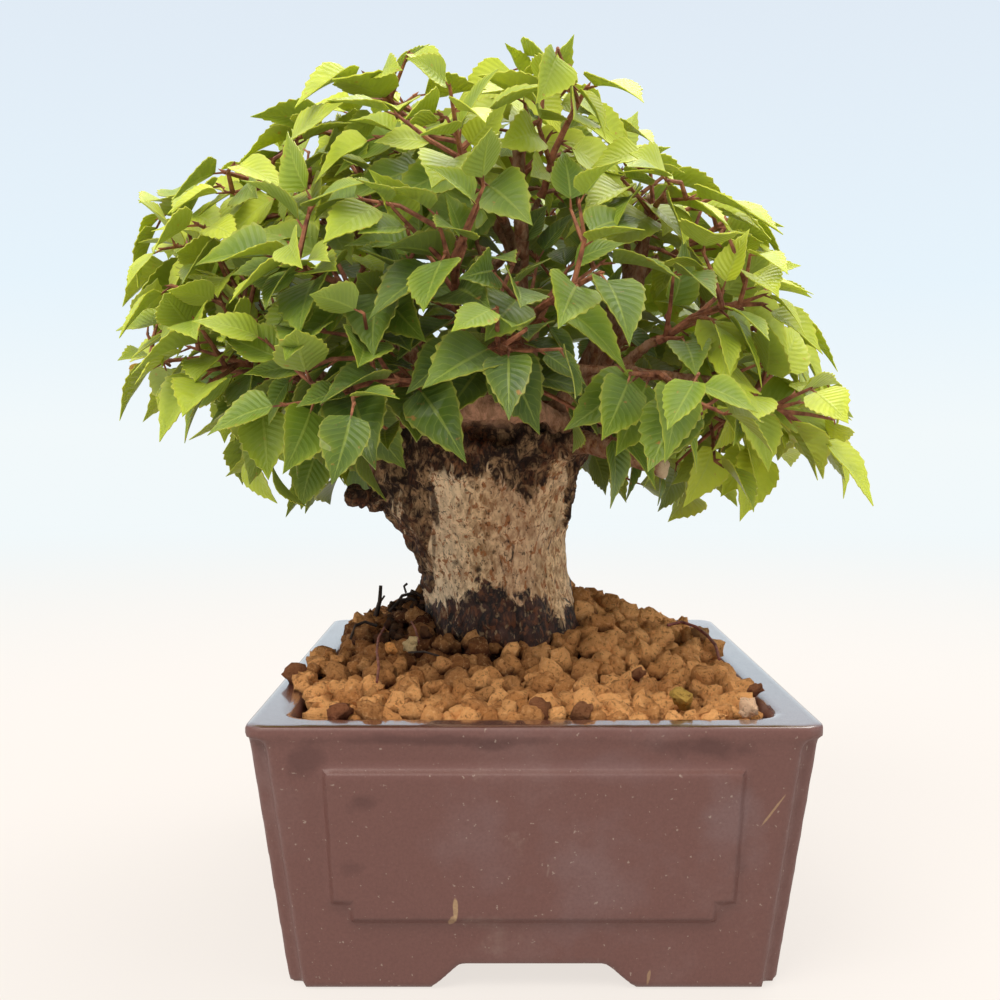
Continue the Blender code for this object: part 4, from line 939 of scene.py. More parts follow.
crownStyle = {
    # the crown's outline from the front: height, and how far it reaches left and right of its axis
    "dome": {"outline": [(100, 58, 88), (106, 64, 91), (112, 69, 90), (117, 73, 98), (125, 90, 97), (133, 98, 91),
                         (149, 98, 84), (157, 96, 83), (164, 93, 83), (172, 97, 79), (179, 92, 67), (186, 73, 52),
                         (193, 60, 46), (203, 48, 37), (208, 34, 27), (216, 26, 20), (221, 6, 14), (224, 0, 5)],
             # the eye that sees it so, and how far a leaf may stand over it
             "viewFrom": 334.0 * mm, "viewHeight": 119.9 * mm, "viewSide": -7.1 * mm, "over": 0.5 * mm,
             # twigs grow to bare places so far inside it: their spacing, and how bare and how far away they can be
             "insets": (10.0 * mm, 28.0 * mm, 46.0 * mm), "targetTop": 205.0, "middle": 128.0 * mm,
             "depthShare": 0.93, "depthMost": 77.0 * mm, "spacing": 9.2 * mm, "bare": 6.6 * mm,
             "reach": (6.0 * mm, 40.0 * mm)},
    "axis": Vector((-10.0 * mm, 0.0, 0.0)), "floor": 95.0 * mm, "rise": 125.0 * mm, "sprayStart": 0.30,
    "limbSteps": 2, "rootRadius": 15.0 * mm, "branchletRadius": 2.1 * mm, "tipRadius": 1.4 * mm,
    "seed": 41, "clearance": 0.3 * mm,
    # a spray: places along its main twig, in shares, for its points, its leaves and its fork, then radii and length
    "mainShares": (0.38, 0.70, 1.0), "leafShares": (0.36, 0.58, 0.80), "forkShare": 0.42, "forkLength": (13, 18),
    "mainRadii": (1.2, 0.95, 0.85, 0.7, 0.5), "forkRadii": (0.7, 0.5),
    # each limb: direction, height of its root, reach and height of its fork, thickness, and the tips of its sprays
    "limbs": {
        "front": (-97, 114, (30, 129), 2.6, [(-86, 72, 136), (-116, 76, 125), (-70, 72, 152), (-124, 76, 155),
                                             (-98, 70, 156)]),
        "frontRight": (-42, 119, (41, 133), 3.0, [(-28, 85, 119), (-57, 80, 123), (-36, 76, 148)]),
        "right": (4, 116, (38, 124), 2.8, [(1, 88, 120), (30, 84, 122), (8, 80, 149)]),
        "backRight": (60, 114, (36, 125), 2.6, [(60, 78, 120), (48, 74, 150)]),
        "back": (92, 115, (33, 127), 2.6, [(91, 74, 122), (88, 68, 150)]),
        "backLeft": (124, 114, (36, 125), 2.6, [(122, 78, 120), (126, 72, 152)]),
        "left": (172, 113, (40, 127), 3.0, [(-174, 83, 137), (154, 80, 131), (174, 84, 165)]),
        "frontLeft": (-152, 113, (38, 126), 2.9, [(-146, 77, 133), (-162, 80, 154)]),
        "upperFront": (-62, 122, (16, 162), 2.6, [(-96, 58, 178), (-40, 14, 203), (-52, 40, 199), (-134, 42, 202)]),
        "upperRight": (-4, 121, (36, 157), 3.3, [(8, 66, 170), (-44, 58, 173), (30, 42, 196)]),
        "upperBack": (90, 122, (20, 164), 2.6, [(60, 56, 177), (116, 58, 179), (116, 38, 204)]),
        "upperLeft": (176, 122, (26, 164), 2.6, [(160, 68, 183), (-150, 71, 179), (-172, 40, 196)]),
    },
    # the few leaves that have turned red-brown are the nearest to these: x, height and how dry
    "rusty": [(-103, 149, 0.95), (-107, 139, 0.7), (43, 190, 0.9), (-86, 141, 0.35)],
    "firstShare": 0.90, "rustyShare": 0.62,
    # leaves keep out of these places in front of the wood: x from and to, z from and to, and the y they start at
    "openings": [(-22, 7, 103, 129, -24), (10, 30, 131, 155, -10), (-6, 4, 160, 188, -34), (30, 60, 106, 116, -30)],
}

leafStyle = {
    "length": 23.0 * mm, "halfWidth": 0.30, "arch": 0.22, "fold": 0.30, "thick": 0.30 * mm,
    # the plain leaf that is tested for room: corners of its right side, the middle of its rib, its thickness when it
    # stands for a solid's leaf and later on, and the room round a twig
    "side": [(0.22, 0.88), (0.46, 1.00), (0.50, 0.80)], "midrib": 0.50, "solidThick": 0.62 * mm,
    "laterThick": 0.7 * mm, "gap": 0.35 * mm,
    "bends": [(0, 0), (16, 0), (-16, 0), (0, 18), (0, -18), (28, 12), (-28, 12), (28, -14), (-28, -14), (44, 0)],
    "teeth": 8, "petiole": 0.16, "variants": 5,
    "profile": [(0.0, 0.0), (0.03, 0.40), (0.10, 0.72), (0.22, 0.95), (0.34, 1.0), (0.50, 0.88), (0.65, 0.66),
                (0.78, 0.42), (0.88, 0.22), (0.95, 0.09), (1.0, 0.0)],
    # more twigs on each spray, and on those that grow to bare places: where their leaves are, their sizes, how much
    # smaller at the top, and how far the last one leans aside
    "extraTwigs": 10, "extraLength": (10.0 * mm, 21.0 * mm), "twigRadii": [0.65 * mm, 0.5 * mm, 0.35 * mm],
    "sideTwigs": {"shares": (0.35, 0.68, 1.0), "sizes": (0.54, 0.88), "smaller": 0.12, "tipLean": 0.25},
    "domeTwigs": {"shares": (0.42, 0.72, 1.0), "sizes": (0.58, 0.93), "smaller": 0.16, "tipLean": 0.3},
    # how leaves differ: twist, share of the fold and of the arch, height of the waves and sideways bend
    "twist": 0.5, "folds": (0.5, 1.9), "arches": (0.5, 2.1), "waves": 0.018, "sway": 0.10,
    # what makes a leaf light, partly young growth at the outside and partly painted light and shade: its distance
    # outwards in shares of these reaches in mm, then its place and luck
    "reaches": (88, 80 / 0.45, 92), "lowest": 118, "outer": 0.70, "luck": (-0.14, 0.32), "right": 0.16,
    "litLowSides": 0.22, "lucky": (0.16, 0.22), "veins": 10.0, "veinSlant": 2.6,
    "inner": (0.036, 0.070, 0.009), "green": (0.125, 0.195, 0.012), "youngAndLitGreen": (0.49, 0.545, 0.035),
    "dry": (0.42, 0.13, 0.035), "vein": (0.36, 0.42, 0.07), "margin": (0.48, 0.40, 0.06),
    "paintedSheen": (0.30, 0.36, 0.17), "under": (0.29, 0.35, 0.09),
    # what lies over the inner green, a dark green that is partly painted shade, as layers; the tone layers are partly
    # painted light and shade, and the dust-and-sheen layer is a painted sheen
    "layers": [("toneAndLight", "green", 1.0, 0.0, 0.5), ("toneAndLight", "youngAndLitGreen", 1.0, 0.5, 1.0),
               ("patchy", "green", 0.35, 0.35, 0.65), ("yellower", "youngAndLitGreen"), ("dustAndSheen", "paintedSheen"),
               ("under", "under", 0.45), ("lines", "vein", 0.38), ("out", "margin", 0.25, 0.96, 1.0),
               ("spotted", "dry")],
}
straightUp = Vector((0, 0, 1))


def around(angle, radius, height):
    turn = math.radians(angle)
    return crownStyle["axis"] + Vector((radius * math.cos(turn), radius * math.sin(turn), height))


def unit(vector):
    return vector.normalized()


def bow(start, end, rise, count):
    points = [start.lerp(end, k / count) for k in range(count + 1)]
    for k, point in enumerate(points):
        point.z += rise * 4 * (k / count) * (1 - k / count)
    return points


def pointOn(points, share):
    at = share * (len(points) - 1)
    first = min(int(at), len(points) - 2)
    return points[first].lerp(points[first + 1], at - first)


def limbPlan(style):  # the limbs as tubes that the leaves keep clear of, and where each spray starts and ends
    wood, sprays = [], []
    steps, tip = style["limbSteps"], style["tipRadius"]
    for angle, rootHeight, fork, thick, ends in style["limbs"].values():
        root = around(angle, style["rootRadius"], (rootHeight - 3) * mm)
        forkAt = around(angle, fork[0] * mm, fork[1] * mm)
        rise = -3 if fork[1] > 150 else 4  # steep limbs sag a little, level ones bow up
        main = bow(root, forkAt, rise * mm, steps)
        mainRadii = [thick * mm * (1.35 - 0.5 * k / steps) for k in range(steps + 1)]
        for rank, (turn, radius, height) in enumerate(ends):
            end = around(turn, radius * mm, height * mm)
            start = forkAt.lerp(end, style["sprayStart"])
            start.z += 3 * mm
            tail = [start - unit(end - start) * 2 * mm, start]
            if rank:  # a branchlet from the fork
                wood.append(([forkAt.lerp(start, -0.12)] + tail, [style["branchletRadius"], tip, tip]))
            else:  # the limb itself, as far as its first spray
                wood.append((main + tail, mainRadii + [tip, tip]))
            sprays.append((start, end))
    return wood, sprays


def laid(at, direction, face, length):  # a leaf from its base, with its upper side turned to the face's direction
    normal = unit(face - direction * face.dot(direction))
    return {"base": at, "direction": direction, "normal": normal, "length": length}


def hangLeaf(rng, at, way, hand, length):
    along, side, outward, high = way["along"], way["side"], way["outward"], way["high"]
    dome = unit(outward + straightUp * (0.15 + 0.35 * high))
    droop = rng.uniform(0.5 - 0.4 * high, 1.05 - 0.25 * high)
    direction = unit(along * rng.uniform(0.4, 0.75) + side * hand * rng.uniform(0.5, 0.9)
                     + outward * 0.3 - straightUp * droop)
    face = dome + side * hand * rng.uniform(-0.1, 0.45)
    face += Vector((rng.uniform(-0.3, 0.3), rng.uniform(-0.3, 0.3), 0.15))
    return laid(at, direction, face, length)


def looseLeaf(rng, at, way, hand, length):  # turned more freely than those of the solids
    along, side, outward = way["along"], way["side"], way["outward"]
    rise = rng.uniform(-0.9, 0.2) + 0.3 * way["high"]
    direction = unit(along * rng.uniform(0.3, 0.9) + side * hand * rng.uniform(0.2, 1.0)
                     + outward * rng.uniform(0.0, 0.6) + Vector((0, 0, rise)))
    face = Vector((rng.uniform(-0.3, 0.3), rng.uniform(-0.3, 0.3), rng.uniform(0.35, 1.0)))
    face += outward * rng.uniform(0.0, 0.8) + side * rng.uniform(-0.5, 0.5)
    return laid(at, direction, face, length)


def leavesAlong(rng, twig, way, hand, growth):  # leaves in turn on a twig's two sides, the last one at its tip
    leaves = []
    for share in growth["shares"]:
        hand = -hand
        size = leafStyle["length"] * rng.uniform(*growth["sizes"]) * (1.0 - growth["smaller"] * way["high"])
        lean = hand * (growth["tipLean"] if share == 1.0 else 1.0)
        leaves.append((share, looseLeaf(rng, pointOn(twig, share), way, lean, size)))
    return leaves


def sprayPlan(index, start, end, style):  # a forked twig with six leaves, as the solid has them
    rng = random.Random(style["seed"] * 1000 + index)
    reach = end - start
    forward = unit(reach)
    start = start + forward * style["clearance"]
    outward = unit(Vector((end.x - style["axis"].x, end.y - style["axis"].y, 0)))
    side = unit(forward.cross(straightUp)) if abs(forward.z) < 0.95 else Vector((1, 0, 0))
    up = unit(side.cross(forward))
    high = (end.z - style["floor"]) / style["rise"]
    way = {"along": forward, "side": side, "outward": outward, "high": high}
    main = [start, start + forward * 2.2 * mm]
    for share in style["mainShares"]:
        sway = side * rng.uniform(-1, 1) * 2.5 * mm
        lift = up * math.sin(math.pi * share) * (3.5 - 2.0 * high) * mm
        main.append(start + reach * share + sway * share + lift)
    leaves = []
    hand = 1 if index % 2 else -1
    for share in style["leafShares"]:
        hand = -hand
        size = leafStyle["length"] * rng.uniform(0.88, 1.12)
        leaves.append(hangLeaf(rng, pointOn(main, share), way, hand, size))
    size = leafStyle["length"] * rng.uniform(0.8, 1.0)
    leaves.append(hangLeaf(rng, main[-1] - forward * 0.4 * mm, way, hand * 0.15, size))
    root = pointOn(main, style["forkShare"])
    heading = unit(forward * 0.7 + side * hand * rng.uniform(0.75, 1.0) + up * rng.uniform(-0.05, 0.3))
    tip = root + heading * rng.uniform(*style["forkLength"]) * mm
    for place, lean in ((root.lerp(tip, 0.62), hand), (tip - heading * 0.4 * mm, -hand * 0.2)):
        size = leafStyle["length"] * rng.uniform(0.8, 1.05)
        leaves.append(hangLeaf(rng, place, {**way, "along": heading}, lean, size))
    twigs = [(points, [radius * mm for radius in radii])
             for points, radii in ((main, style["mainRadii"]), ([root, tip], style["forkRadii"]))]
    return {"twigs": twigs, "leaves": leaves, "way": {**way, "up": up}, "main": main}


def extraGrowth(index, plan, taken, style):  # more side twigs on a spray
    rng = random.Random(style["seed"] * 77 + index)
    way = plan["way"]
    for k in range(leafStyle["extraTwigs"]):
        hand = 1 if k % 2 else -1
        root = pointOn(plan["main"], rng.uniform(0.12, 0.97))
        heading = unit(way["along"] * rng.uniform(0.35, 0.9) + way["side"] * hand * rng.uniform(0.1, 1.0)
                       + way["up"] * rng.uniform(-0.35, 0.9))
        tip = root + heading * rng.uniform(*leafStyle["extraLength"])
        twig = [root, root.lerp(tip, 0.5) + way["up"] * rng.uniform(-1, 1) * mm, tip]
        if insideBox(twig, 1.5 * mm) and not hidesWood(twig):
            leaves = leavesAlong(rng, twig, {**way, "along": heading}, hand, leafStyle["sideTwigs"])
            leafyTwig(index, plan, taken, twig, leaves)


def leafOutline():
    right = [(t, leafStyle["halfWidth"] * w) for t, w in leafStyle["side"]]
    return [(0.0, 0.0), *right, (1.0, 0.0), *[(t, -w) for t, w in reversed(right)], (leafStyle["midrib"], 0.0)]


plainOutline = leafOutline()


def leafPoints(leaf, thick):
    across = unit(leaf["normal"].cross(leaf["direction"]))
    upper, lower = [], []
    for t, w in plainOutline:
        bend = leafStyle["fold"] * abs(w) - leafStyle["arch"] * t * t
        point = leaf["base"] + (leaf["direction"] * t + across * w + leaf["normal"] * bend) * leaf["length"]
        upper.append(point + leaf["normal"] * thick / 2)
        lower.append(point - leaf["normal"] * thick / 2)
    return upper + lower


def leafFaces():
    count = len(plainOutline)
    rib = count - 1
    faces = []
    for k in range(rib):
        after = (k + 1) % rib
        faces += [(rib, k, after), (count + rib, count + after, count + k), (k, count + k, count + after),
                  (k, count + after, after)]
    return faces


plainFaces = leafFaces()
baseCorners = {0, len(plainOutline)}
outerFaces = [face for face in plainFaces if not baseCorners & set(face)]


def bent(leaf, pitch, yaw):
    across = unit(leaf["normal"].cross(leaf["direction"]))
    turn = Quaternion(leaf["normal"], math.radians(yaw)) @ Quaternion(across, math.radians(pitch))
    return {**leaf, "direction": unit(turn @ leaf["direction"]), "normal": unit(turn @ leaf["normal"])}


def woodTree(points, radii):
    corners, faces = [], []
    for k, (point, radius) in enumerate(zip(points, radii)):
        ahead = unit(points[min(k + 1, len(points) - 1)] - points[max(k - 1, 0)])
        first = unit(ahead.orthogonal()) * (radius + leafStyle["gap"])
        second = ahead.cross(first)
        corners += [point + first, point + second, point - first, point - second]
    for k in range(len(points) - 1):
        for edge in range(4):
            after = (edge + 1) % 4
            faces.append((4 * k + edge, 4 * k + after, 4 * k + 4 + after, 4 * k + 4 + edge))
    return BVHTree.FromPolygons(corners, faces), corners


class Taken:  # what already stands in the crown, with the box of each, so only what is near is tested
    def __init__(self, room):
        self.owners, self.trees = [], []
        self.low, self.high = np.empty((room, 3)), np.empty((room, 3))

    def add(self, owner, tree, corners):
        self.low[len(self.trees)], self.high[len(self.trees)] = np.min(corners, 0), np.max(corners, 0)
        self.owners.append(owner)
        self.trees.append(tree)

    def blocks(self, index, tree, outer, corners):
        count = len(self.trees)
        low, high = np.min(corners, 0), np.max(corners, 0)
        near = np.nonzero(((self.low[:count] <= high) & (self.high[:count] >= low)).all(1))[0]
        return any(self.trees[k].overlap(outer if self.owners[k] == index else tree) for k in near)


def insideBox(corners, room):
    low, high = Vector(cadBox[0]) - potMiddle, Vector(cadBox[1]) - potMiddle
    return all(low[k] + room < corner[k] < high[k] - room for corner in corners for k in range(3))


def hidesWood(corners):
    for left, right, low, high, front in crownStyle["openings"]:
        for corner in corners:
            if left * mm < corner.x < right * mm and low * mm < corner.z < high * mm and corner.y < front * mm:
                return True
    return False


def outsideView(corners):  # whether any corner would show outside the crown's outline from the front
    dome = crownStyle["dome"]
    heights, lefts, rights = zip(*dome["outline"])
    for corner in corners:
        nearer = dome["viewFrom"] / (dome["viewFrom"] + corner.y)
        across = (corner.x - dome["viewSide"]) * nearer + dome["viewSide"] - crownStyle["axis"].x
        height = (dome["viewHeight"] + (corner.z - dome["viewHeight"]) * nearer) / mm
        left, right = np.interp(height, heights, lefts) * mm, np.interp(height, heights, rights) * mm
        if not -left - dome["over"] < across < right + dome["over"] or not heights[0] - 2 < height < heights[-1]:
            return True
    return False


def fitLeaf(index, leaf, taken, later=True):  # the leaf bent clear of all that stands there, or nothing
    thick = leafStyle["laterThick"] if later else leafStyle["solidThick"] + 2 * leafStyle["gap"]
    for pitch, yaw in leafStyle["bends"]:
        tried = bent(leaf, pitch, yaw)
        corners = leafPoints(tried, thick)
        if later and (not insideBox(corners, 1 * mm) or hidesWood(corners) or outsideView(corners)):
            continue
        tree = BVHTree.FromPolygons(corners, plainFaces)
        outer = BVHTree.FromPolygons(corners, outerFaces)
        lowest = min(corner.z for corner in corners)
        if lowest > crownStyle["floor"] and not taken.blocks(index, tree, outer, corners):
            taken.add(None, tree, corners)
            return tried
    return None


def crownPlan(style):
    wood, sprays = limbPlan(style)
    plans = [sprayPlan(index, start, end, style) for index, (start, end) in enumerate(sprays)]
    taken = Taken(4000)  # more than will ever stand in it
    for points, radii in wood:
        taken.add(None, *woodTree(points, radii))
    for index, plan in enumerate(plans):
        for points, radii in plan["twigs"]:
            taken.add(index, *woodTree(points, radii))
    for index, plan in enumerate(plans):
        plan["leaves"] = [kept for leaf in plan["leaves"] if (kept := fitLeaf(index, leaf, taken, False))]
        for leaf in plan["leaves"]:
            leaf["length"] *= style["firstShare"]
    for index, plan in enumerate(plans):
        extraGrowth(index, plan, taken, style)
    fillDome(plans, taken, style)
    leaves = [leaf for plan in plans for leaf in plan["leaves"] if leaf["base"].y < 30 * mm]
    for x, height, dry in style["rusty"]:
        nearest = min(leaves, key=lambda leaf: math.hypot(leaf["base"].x - x * mm, leaf["base"].z - height * mm))
        nearest.update(dry=dry, length=nearest["length"] * style["rustyShare"])
    return plans


def domeTargets(dome, axis, inset, rng):  # places spread evenly over a surface so far inside the crown's own
    targets = []
    rows = [row for row in dome["outline"] if row[0] < dome["targetTop"]]
    for _ in range(9000):
        turn, at = rng.uniform(0, math.tau), rng.uniform(0, len(rows) - 1.001)
        (low, left, right), (high, nextLeft, nextRight) = rows[int(at)], rows[int(at) + 1]
        share = at - int(at)
        left, right = left + (nextLeft - left) * share, right + (nextRight - right) * share
        width = (left if math.cos(turn) < 0 else right) * mm - inset
        depth = min(0.5 * (left + right) * dome["depthShare"] * mm, dome["depthMost"]) - inset
        height = (low + (high - low) * share) * mm - 0.4 * (inset - dome["insets"][0])
        target = axis + Vector((width * math.cos(turn), depth * math.sin(turn), height))
        if all((target - other).length > dome["spacing"] for other in targets):
            targets.append(target)
    return targets


def cutBack(points, share):  # the twig as far as its last leaf
    return points if share > 0.99 else [points[0], pointOn(points, share * 0.5), pointOn(points, share)]


def leafyTwig(index, plan, taken, twig, leaves):  # the twig with those leaves that find room, or none of it
    radii = leafStyle["twigRadii"]
    taken.add(index, *woodTree(twig, radii))
    kept = [(share, grown) for share, leaf in leaves if (grown := fitLeaf(index, leaf, taken))]
    if kept:
        plan["twigs"].append((cutBack(twig, max(share for share, _ in kept)), radii))
        plan["leaves"] += [grown for _, grown in kept]
    return [grown for _, grown in kept]


def heart(leaf):
    return leaf["base"] + leaf["direction"] * leaf["length"] * 0.55


def rootsNear(target, outward, roots, dome):  # the nearest places on other twigs from which one can grow outwards
    found = []
    for root, index in roots:
        way = target - root
        near = dome["reach"][0] < way.length < dome["reach"][1]
        if near and unit(way).dot(outward) > 0.15 and unit(way).z > -0.55:
            found.append((way.length, index, root))
    return sorted(found)[:8]


def fillDome(plans, taken, style):  # twigs with leaves grow to each bare place of the crown's surface
    rng = random.Random(style["seed"] + 9)
    dome = style["dome"]
    centre = style["axis"] + straightUp * dome["middle"]
    roots = [(pointOn(points, share / 8), index) for index, plan in enumerate(plans)
             for points, radii in plan["twigs"] for share in range(1, 8)]
    hearts = [heart(leaf) for plan in plans for leaf in plan["leaves"]]
    added = 0
    targets = [target for inset in dome["insets"] for target in domeTargets(dome, style["axis"], inset, rng)]
    for target in targets:
        if min((target - middle).length for middle in hearts) < dome["bare"]:
            continue
        outward = unit(target - centre)
        for _, index, root in rootsNear(target, outward, roots, dome):
            heading = unit(target - root)
            side = unit(heading.cross(Vector((0.1, 0, 1))))
            middle = root.lerp(target, 0.5) + side * rng.uniform(-2, 2) * mm + Vector((0, 0, 1.5 * mm))
            twig = [root, middle, target]
            tree, corners = woodTree([root + heading * 1.5 * mm, middle, target], [0.3 * mm] * 3)
            if not insideBox(corners, 1 * mm) or hidesWood(twig) or taken.blocks(index, tree, tree, corners):
                continue
            hand = rng.choice((-1, 1))
            level = unit(Vector((outward.x, outward.y, 0)) * 0.8 + Vector((0, 0, outward.z)))
            high = (target.z - style["floor"]) / style["rise"]
            way = {"along": heading, "side": side, "outward": level, "high": high}
            leaves = leavesAlong(rng, twig, way, hand, leafStyle["domeTwigs"])
            grown = leafyTwig(index, plans[index], taken, twig, leaves)
            hearts += [heart(leaf) for leaf in grown]
            added += len(grown)
            break
    print("Dome:", added, "leaves on new twigs")


def profileWidth(share):
    for (low, first), (high, second) in zip(leafStyle["profile"], leafStyle["profile"][1:]):
        if share <= high:
            return first + (second - first) * (share - low) / (high - low)
    return 0.0


def tapered(sides, radii, length, location, tilt):  # a cone or stalk, made part of the leaf at its place
    bpy.ops.mesh.primitive_cone_add(vertices=sides, radius1=radii[0], radius2=radii[1], depth=length,
                                    location=location, rotation=(math.radians(tilt), 0, 0))
    piece = bpy.context.object
    activate(piece)
    bpy.ops.object.transform_apply(location=True, rotation=True, scale=True)
    piece.data.materials.append(materials["twig"])
    return piece


def modelLeaf(name, rng, style):  # a toothed blade with its stalk and bud, in shares of its length along Y
    deselectAll()
    rows = 2 * style["teeth"]
    bpy.ops.mesh.primitive_grid_add(x_subdivisions=2, y_subdivisions=rows, size=1.0)
    leaf = bpy.context.object
    leaf.name = name
    points = pointArray(leaf.data)
    start = style["petiole"]
    wide = rng.uniform(0.90, 1.10)
    for k, (x, y, _) in enumerate(points):
        share = y + 0.5
        row = round(share * rows)
        out = 2 * x * style["halfWidth"] * wide * profileWidth(share)
        forward = 0.0
        if abs(x) > 0.3 and 0 < row < rows:  # a tooth's tip, or the notch behind it
            depth = min(1.0, 1.5 * profileWidth(share))
            out += math.copysign((0.030 if row % 2 else -0.012) * depth * rng.uniform(0.7, 1.3), x)
            forward = 0.034 * depth if row % 2 else -0.008
        if row == rows:
            forward = 0.03
        points[k] = (out, start + (share + forward) * (1 - start), 0.0)
    setPoints(leaf.data, points)
    with editing(leaf):
        bpy.ops.mesh.remove_doubles(threshold=0.001)
        bpy.ops.mesh.select_all(action="DESELECT")
    for edge in leaf.data.edges:  # the cross lines that end at a tooth's tip are taken out
        first, second = (leaf.data.vertices[v].co for v in edge.vertices)
        middle = first if abs(first.x) < abs(second.x) else second
        row = round((middle.y - start) / (1 - start) * rows)
        edge.select = row % 2 == 1 and abs(middle.x) < 0.001 < abs(first.x - second.x)
    with editing(leaf, None):
        bpy.ops.mesh.dissolve_edges(use_verts=False)
    shell = leaf.modifiers.new("shell", "SOLIDIFY")
    shell.thickness = style["thick"] / style["length"]
    shell.offset = 0.0
    applyAll(leaf)
    leaf.data.materials.append(materials["leaf"])
    joinInto(leaf, [tapered(4, (0.020, 0.013), start + 0.05, (0, start / 2 + 0.015, -0.002), -90),
                    tapered(5, (0.030, 0.0), 0.11, (0.004, 0.045, 0.030), -52)])
    return leaf


def leafMaterial(style):
    material, tree, shader, place = newMaterial("hornbeamLeaf", 0.45, Specular_IOR_Level=0.28,
                                                Subsurface_Weight=0.35, Subsurface_Scale=0.8 * mm,
                                                Subsurface_Radius=(1.0, 1.0, 0.35))
    across, along, _ = axes(tree, put(tree, "UVMap", uv_map="UVMap").outputs[0])
    out = times(tree, unsigned(tree, minus(tree, across, 0.5)), 2.0)
    # the tone is partly the leaf's own and partly painted light and shade, darker inside the crown
    toneAndLight, dry, under = painted(tree, "leafTint")
    yellower = plus(tree, ranged(tree, out, 0.45, 1.0, 0.0, 0.55), ranged(tree, along, 0.55, 1.0, 0.0, 0.40))
    # the veins leave the midrib at a slant
    wave = minus(tree, times(tree, along, style["veins"]), times(tree, out, style["veinSlant"]))
    near = unsigned(tree, minus(tree, math2(tree, "FRACT", wave, 0.0), 0.5))
    rib = ranged(tree, out, 0.08, 0.03)
    veins = ranged(tree, near, 0.10, 0.02, 0.0, 0.4)
    spots = ranged(tree, noiseAt(tree, place, 420.0, 3.0), 0.68, 0.74, 0.0, 0.5)
    # on the leaves the upward-facing mask is a painted sheen of the sky
    masks = {"toneAndLight": toneAndLight, "out": out, "under": under, "dustAndSheen": dustAndSheen(tree, place, 0.22),
             "patchy": noiseAt(tree, place, 150.0, 3.0), "lines": math2(tree, "MAXIMUM", veins, rib),
             "yellower": times(tree, yellower, ranged(tree, toneAndLight, 0.1, 0.9, 0.15, 0.75)),
             "spotted": plus(tree, dry, spots, True)}
    quilt = minus(tree, ranged(tree, near, 0.0, 0.5), times(tree, rib, 1.2))
    wire(tree, shader, {"Base Color": layered(tree, style["inner"], masks, style["layers"], style),
                        "Roughness": ranged(tree, noiseAt(tree, place, 500.0), 0.3, 0.7, 0.36, 0.52),
                        "Normal": bump(tree, quilt, 0.28, 0.30 * mm)})
    return material


def leafToneAndLight(base, rng, style):  # how light a leaf is: more so to the outside, to the right and low at the sides, partly its own tone and partly painted light and shade
    across, deep, tall = (length * mm for length in style["reaches"])
    outness = math.hypot((base.x - crownStyle["axis"].x) / across, base.y / deep,
                         (base.z - style["lowest"] * mm) / tall)
    toneAndLight = style["outer"] * step(0.36, 0.94, outness) + rng.uniform(*style["luck"])
    toneAndLight += style["right"] * stepMm(0, 60, base.x)
    toneAndLight += style["litLowSides"] * stepMm(145, 110, base.z) * stepMm(20, 70, abs(base.x))
    chance, more = style["lucky"]
    if rng.random() < chance:
        toneAndLight += more
    return min(1.0, max(0.0, toneAndLight))


def leafCopy(leaf, master, rng, style):  # a copy along the leaf's direction, with its own fold, arch and waves
    mesh = master["mesh"].copy()
    across = np.array(unit(leaf["normal"].cross(leaf["direction"])))
    direction, normal = np.array(leaf["direction"]), np.array(leaf["normal"])
    x, y, z = master["points"].T
    twist = rng.uniform(-style["twist"], style["twist"])
    bend = style["fold"] * rng.uniform(*style["folds"]) * np.abs(x)
    bend = bend - style["arch"] * rng.uniform(*style["arches"]) * y * y + twist * x * y
    bend = bend + style["waves"] * np.sin(9 * y + rng.uniform(0, 6)) * (np.abs(x) / style["halfWidth"])
    sway = rng.uniform(-style["sway"], style["sway"]) * y * y
    points = np.array(leaf["base"]) + leaf["length"] * (
        y[:, None] * direction + (x + sway)[:, None] * across + (bend + z)[:, None] * normal)
    room = 0.2 * mm
    lowest, highest = (np.array(Vector(corner) - potMiddle) for corner in cadBox)
    setPoints(mesh, np.clip(points, lowest + room, highest - room))
    tint = np.ones((len(mesh.loops), 4), dtype=np.float32)
    tint[:, 0] = leafToneAndLight(leaf["base"], rng, style)
    tint[:, 1] = leaf.get("dry", 0.0)
    tint[:, 2] = master["under"]
    paint(mesh, "leafTint", tint, "CORNER")
    return newObject("leafCopy", mesh)


def modelMaster(name, rng, style):  # a leaf to copy, with its points and which of its corners lie underneath
    leaf = modelLeaf(name, rng, style)
    under = np.zeros(len(leaf.data.loops), dtype=np.float32)
    for face in leaf.data.polygons:
        if face.normal.z < -0.5:
            under[face.loop_start:face.loop_start + face.loop_total] = 1.0
    return {"mesh": leaf.data, "points": pointArray(leaf.data), "under": under, "object": leaf}


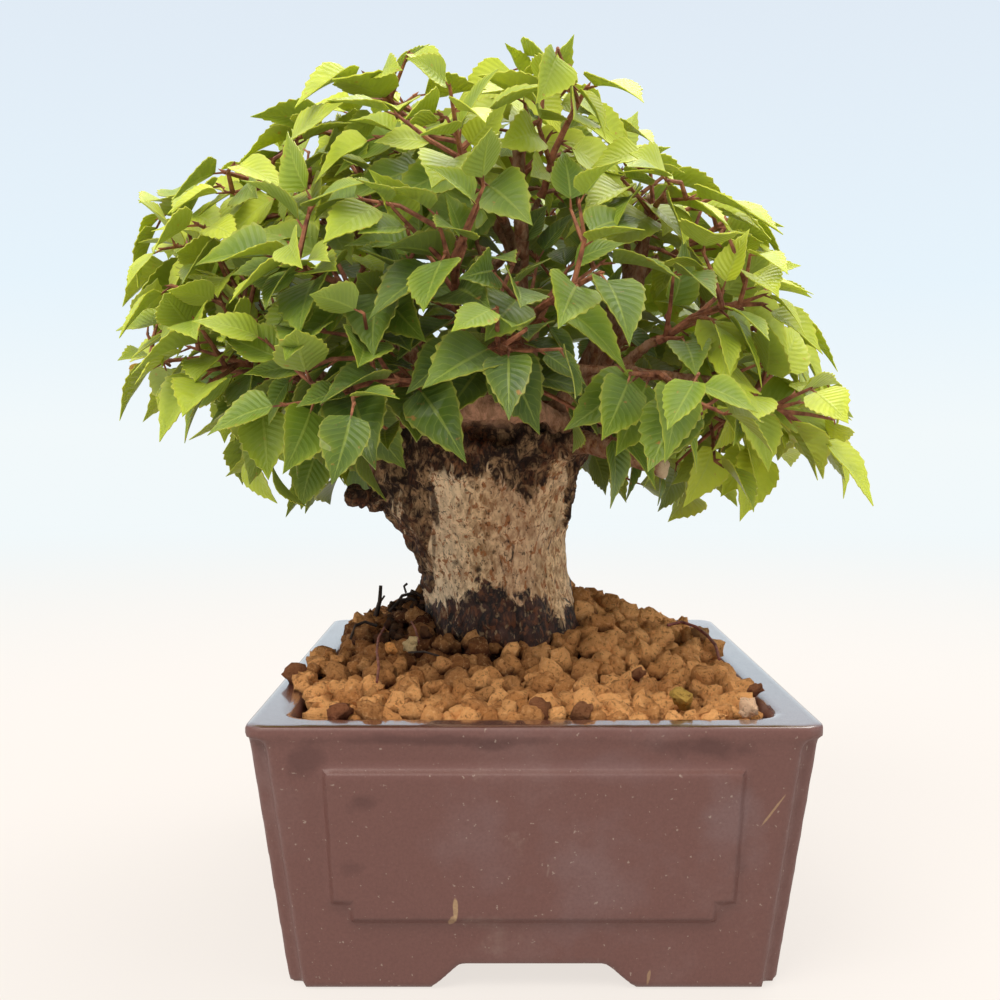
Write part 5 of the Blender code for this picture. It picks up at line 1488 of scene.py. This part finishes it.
def buildCrown(style):
    plans = crownPlan(style)
    rng = random.Random(style["seed"] + 3)
    masters = [modelMaster(f"blade{k}", rng, leafStyle) for k in range(leafStyle["variants"])]
    total = 0
    for index, plan in enumerate(plans):
        spray = modelTubes(f"leafySpray{index + 1:02d}", plan["twigs"], "twig")
        copies = [leafCopy(leaf, rng.choice(masters), rng, leafStyle) for leaf in plan["leaves"]]
        joinInto(spray, copies)
        spray.data.transform(Matrix.Translation(potMiddle))
        smoothByAngle(spray, 55)
        standFor(spray, "leaf", f"spray_{index + 1:02d}")
        total += len(copies)
    for master in masters:
        bpy.data.objects.remove(master["object"])
    print("Crown:", len(plans), "sprays with", total, "leaves,", len(masters[0]["under"]), "corners a leaf")


materials["leaf"] = leafMaterial(leafStyle)
buildCrown(crownStyle)


# The small solids: the dead stick, and the drain screens, which stay as they are

stickStyle = {
    "stem": [(-41.2, 20.0, 57.0), (-41.9, 20.1, 64.0), (-41.8, 20.3, 68.0), (-40.8, 20.7, 71.5), (-40.5, 21.0, 76.0)],
    "stemRadii": (0.9, 0.85, 0.8, 0.6, 0.5),
    "twig": [(-40.9, 20.7, 71.0), (-39.4, 20.5, 73.2)], "twigRadii": (0.3, 0.3),
}


def buildStick(style):
    parts = ((style["stem"], style["stemRadii"]), (style["twig"], style["twigRadii"]))
    tubes = [([Vector(point) * mm + potMiddle for point in points], [radius * mm for radius in radii])
             for points, radii in parts]
    standFor(modelTubes("deadStick", tubes, "deadWood"), "dark_wood", "dead_stick")


def dressScreens():
    material, tree, shader, place = newMaterial("screenPlastic", 0.5)
    fine = grain(tree, place, 1200.0)
    wire(tree, shader, {"Base Color": mixed(tree, fine["Mask"], (0.012, 0.035, 0.020), (0.030, 0.060, 0.040)),
                        "Normal": bump(tree, fine["Height"], 0.3, 0.1 * mm)})
    for name in ("drain_screen_1", "drain_screen_2"):
        nodes[name].data.materials.clear()
        nodes[name].data.materials.append(material)
    print("Small solids: dead stick and drain screens")


buildStick(stickStyle)
dressScreens()
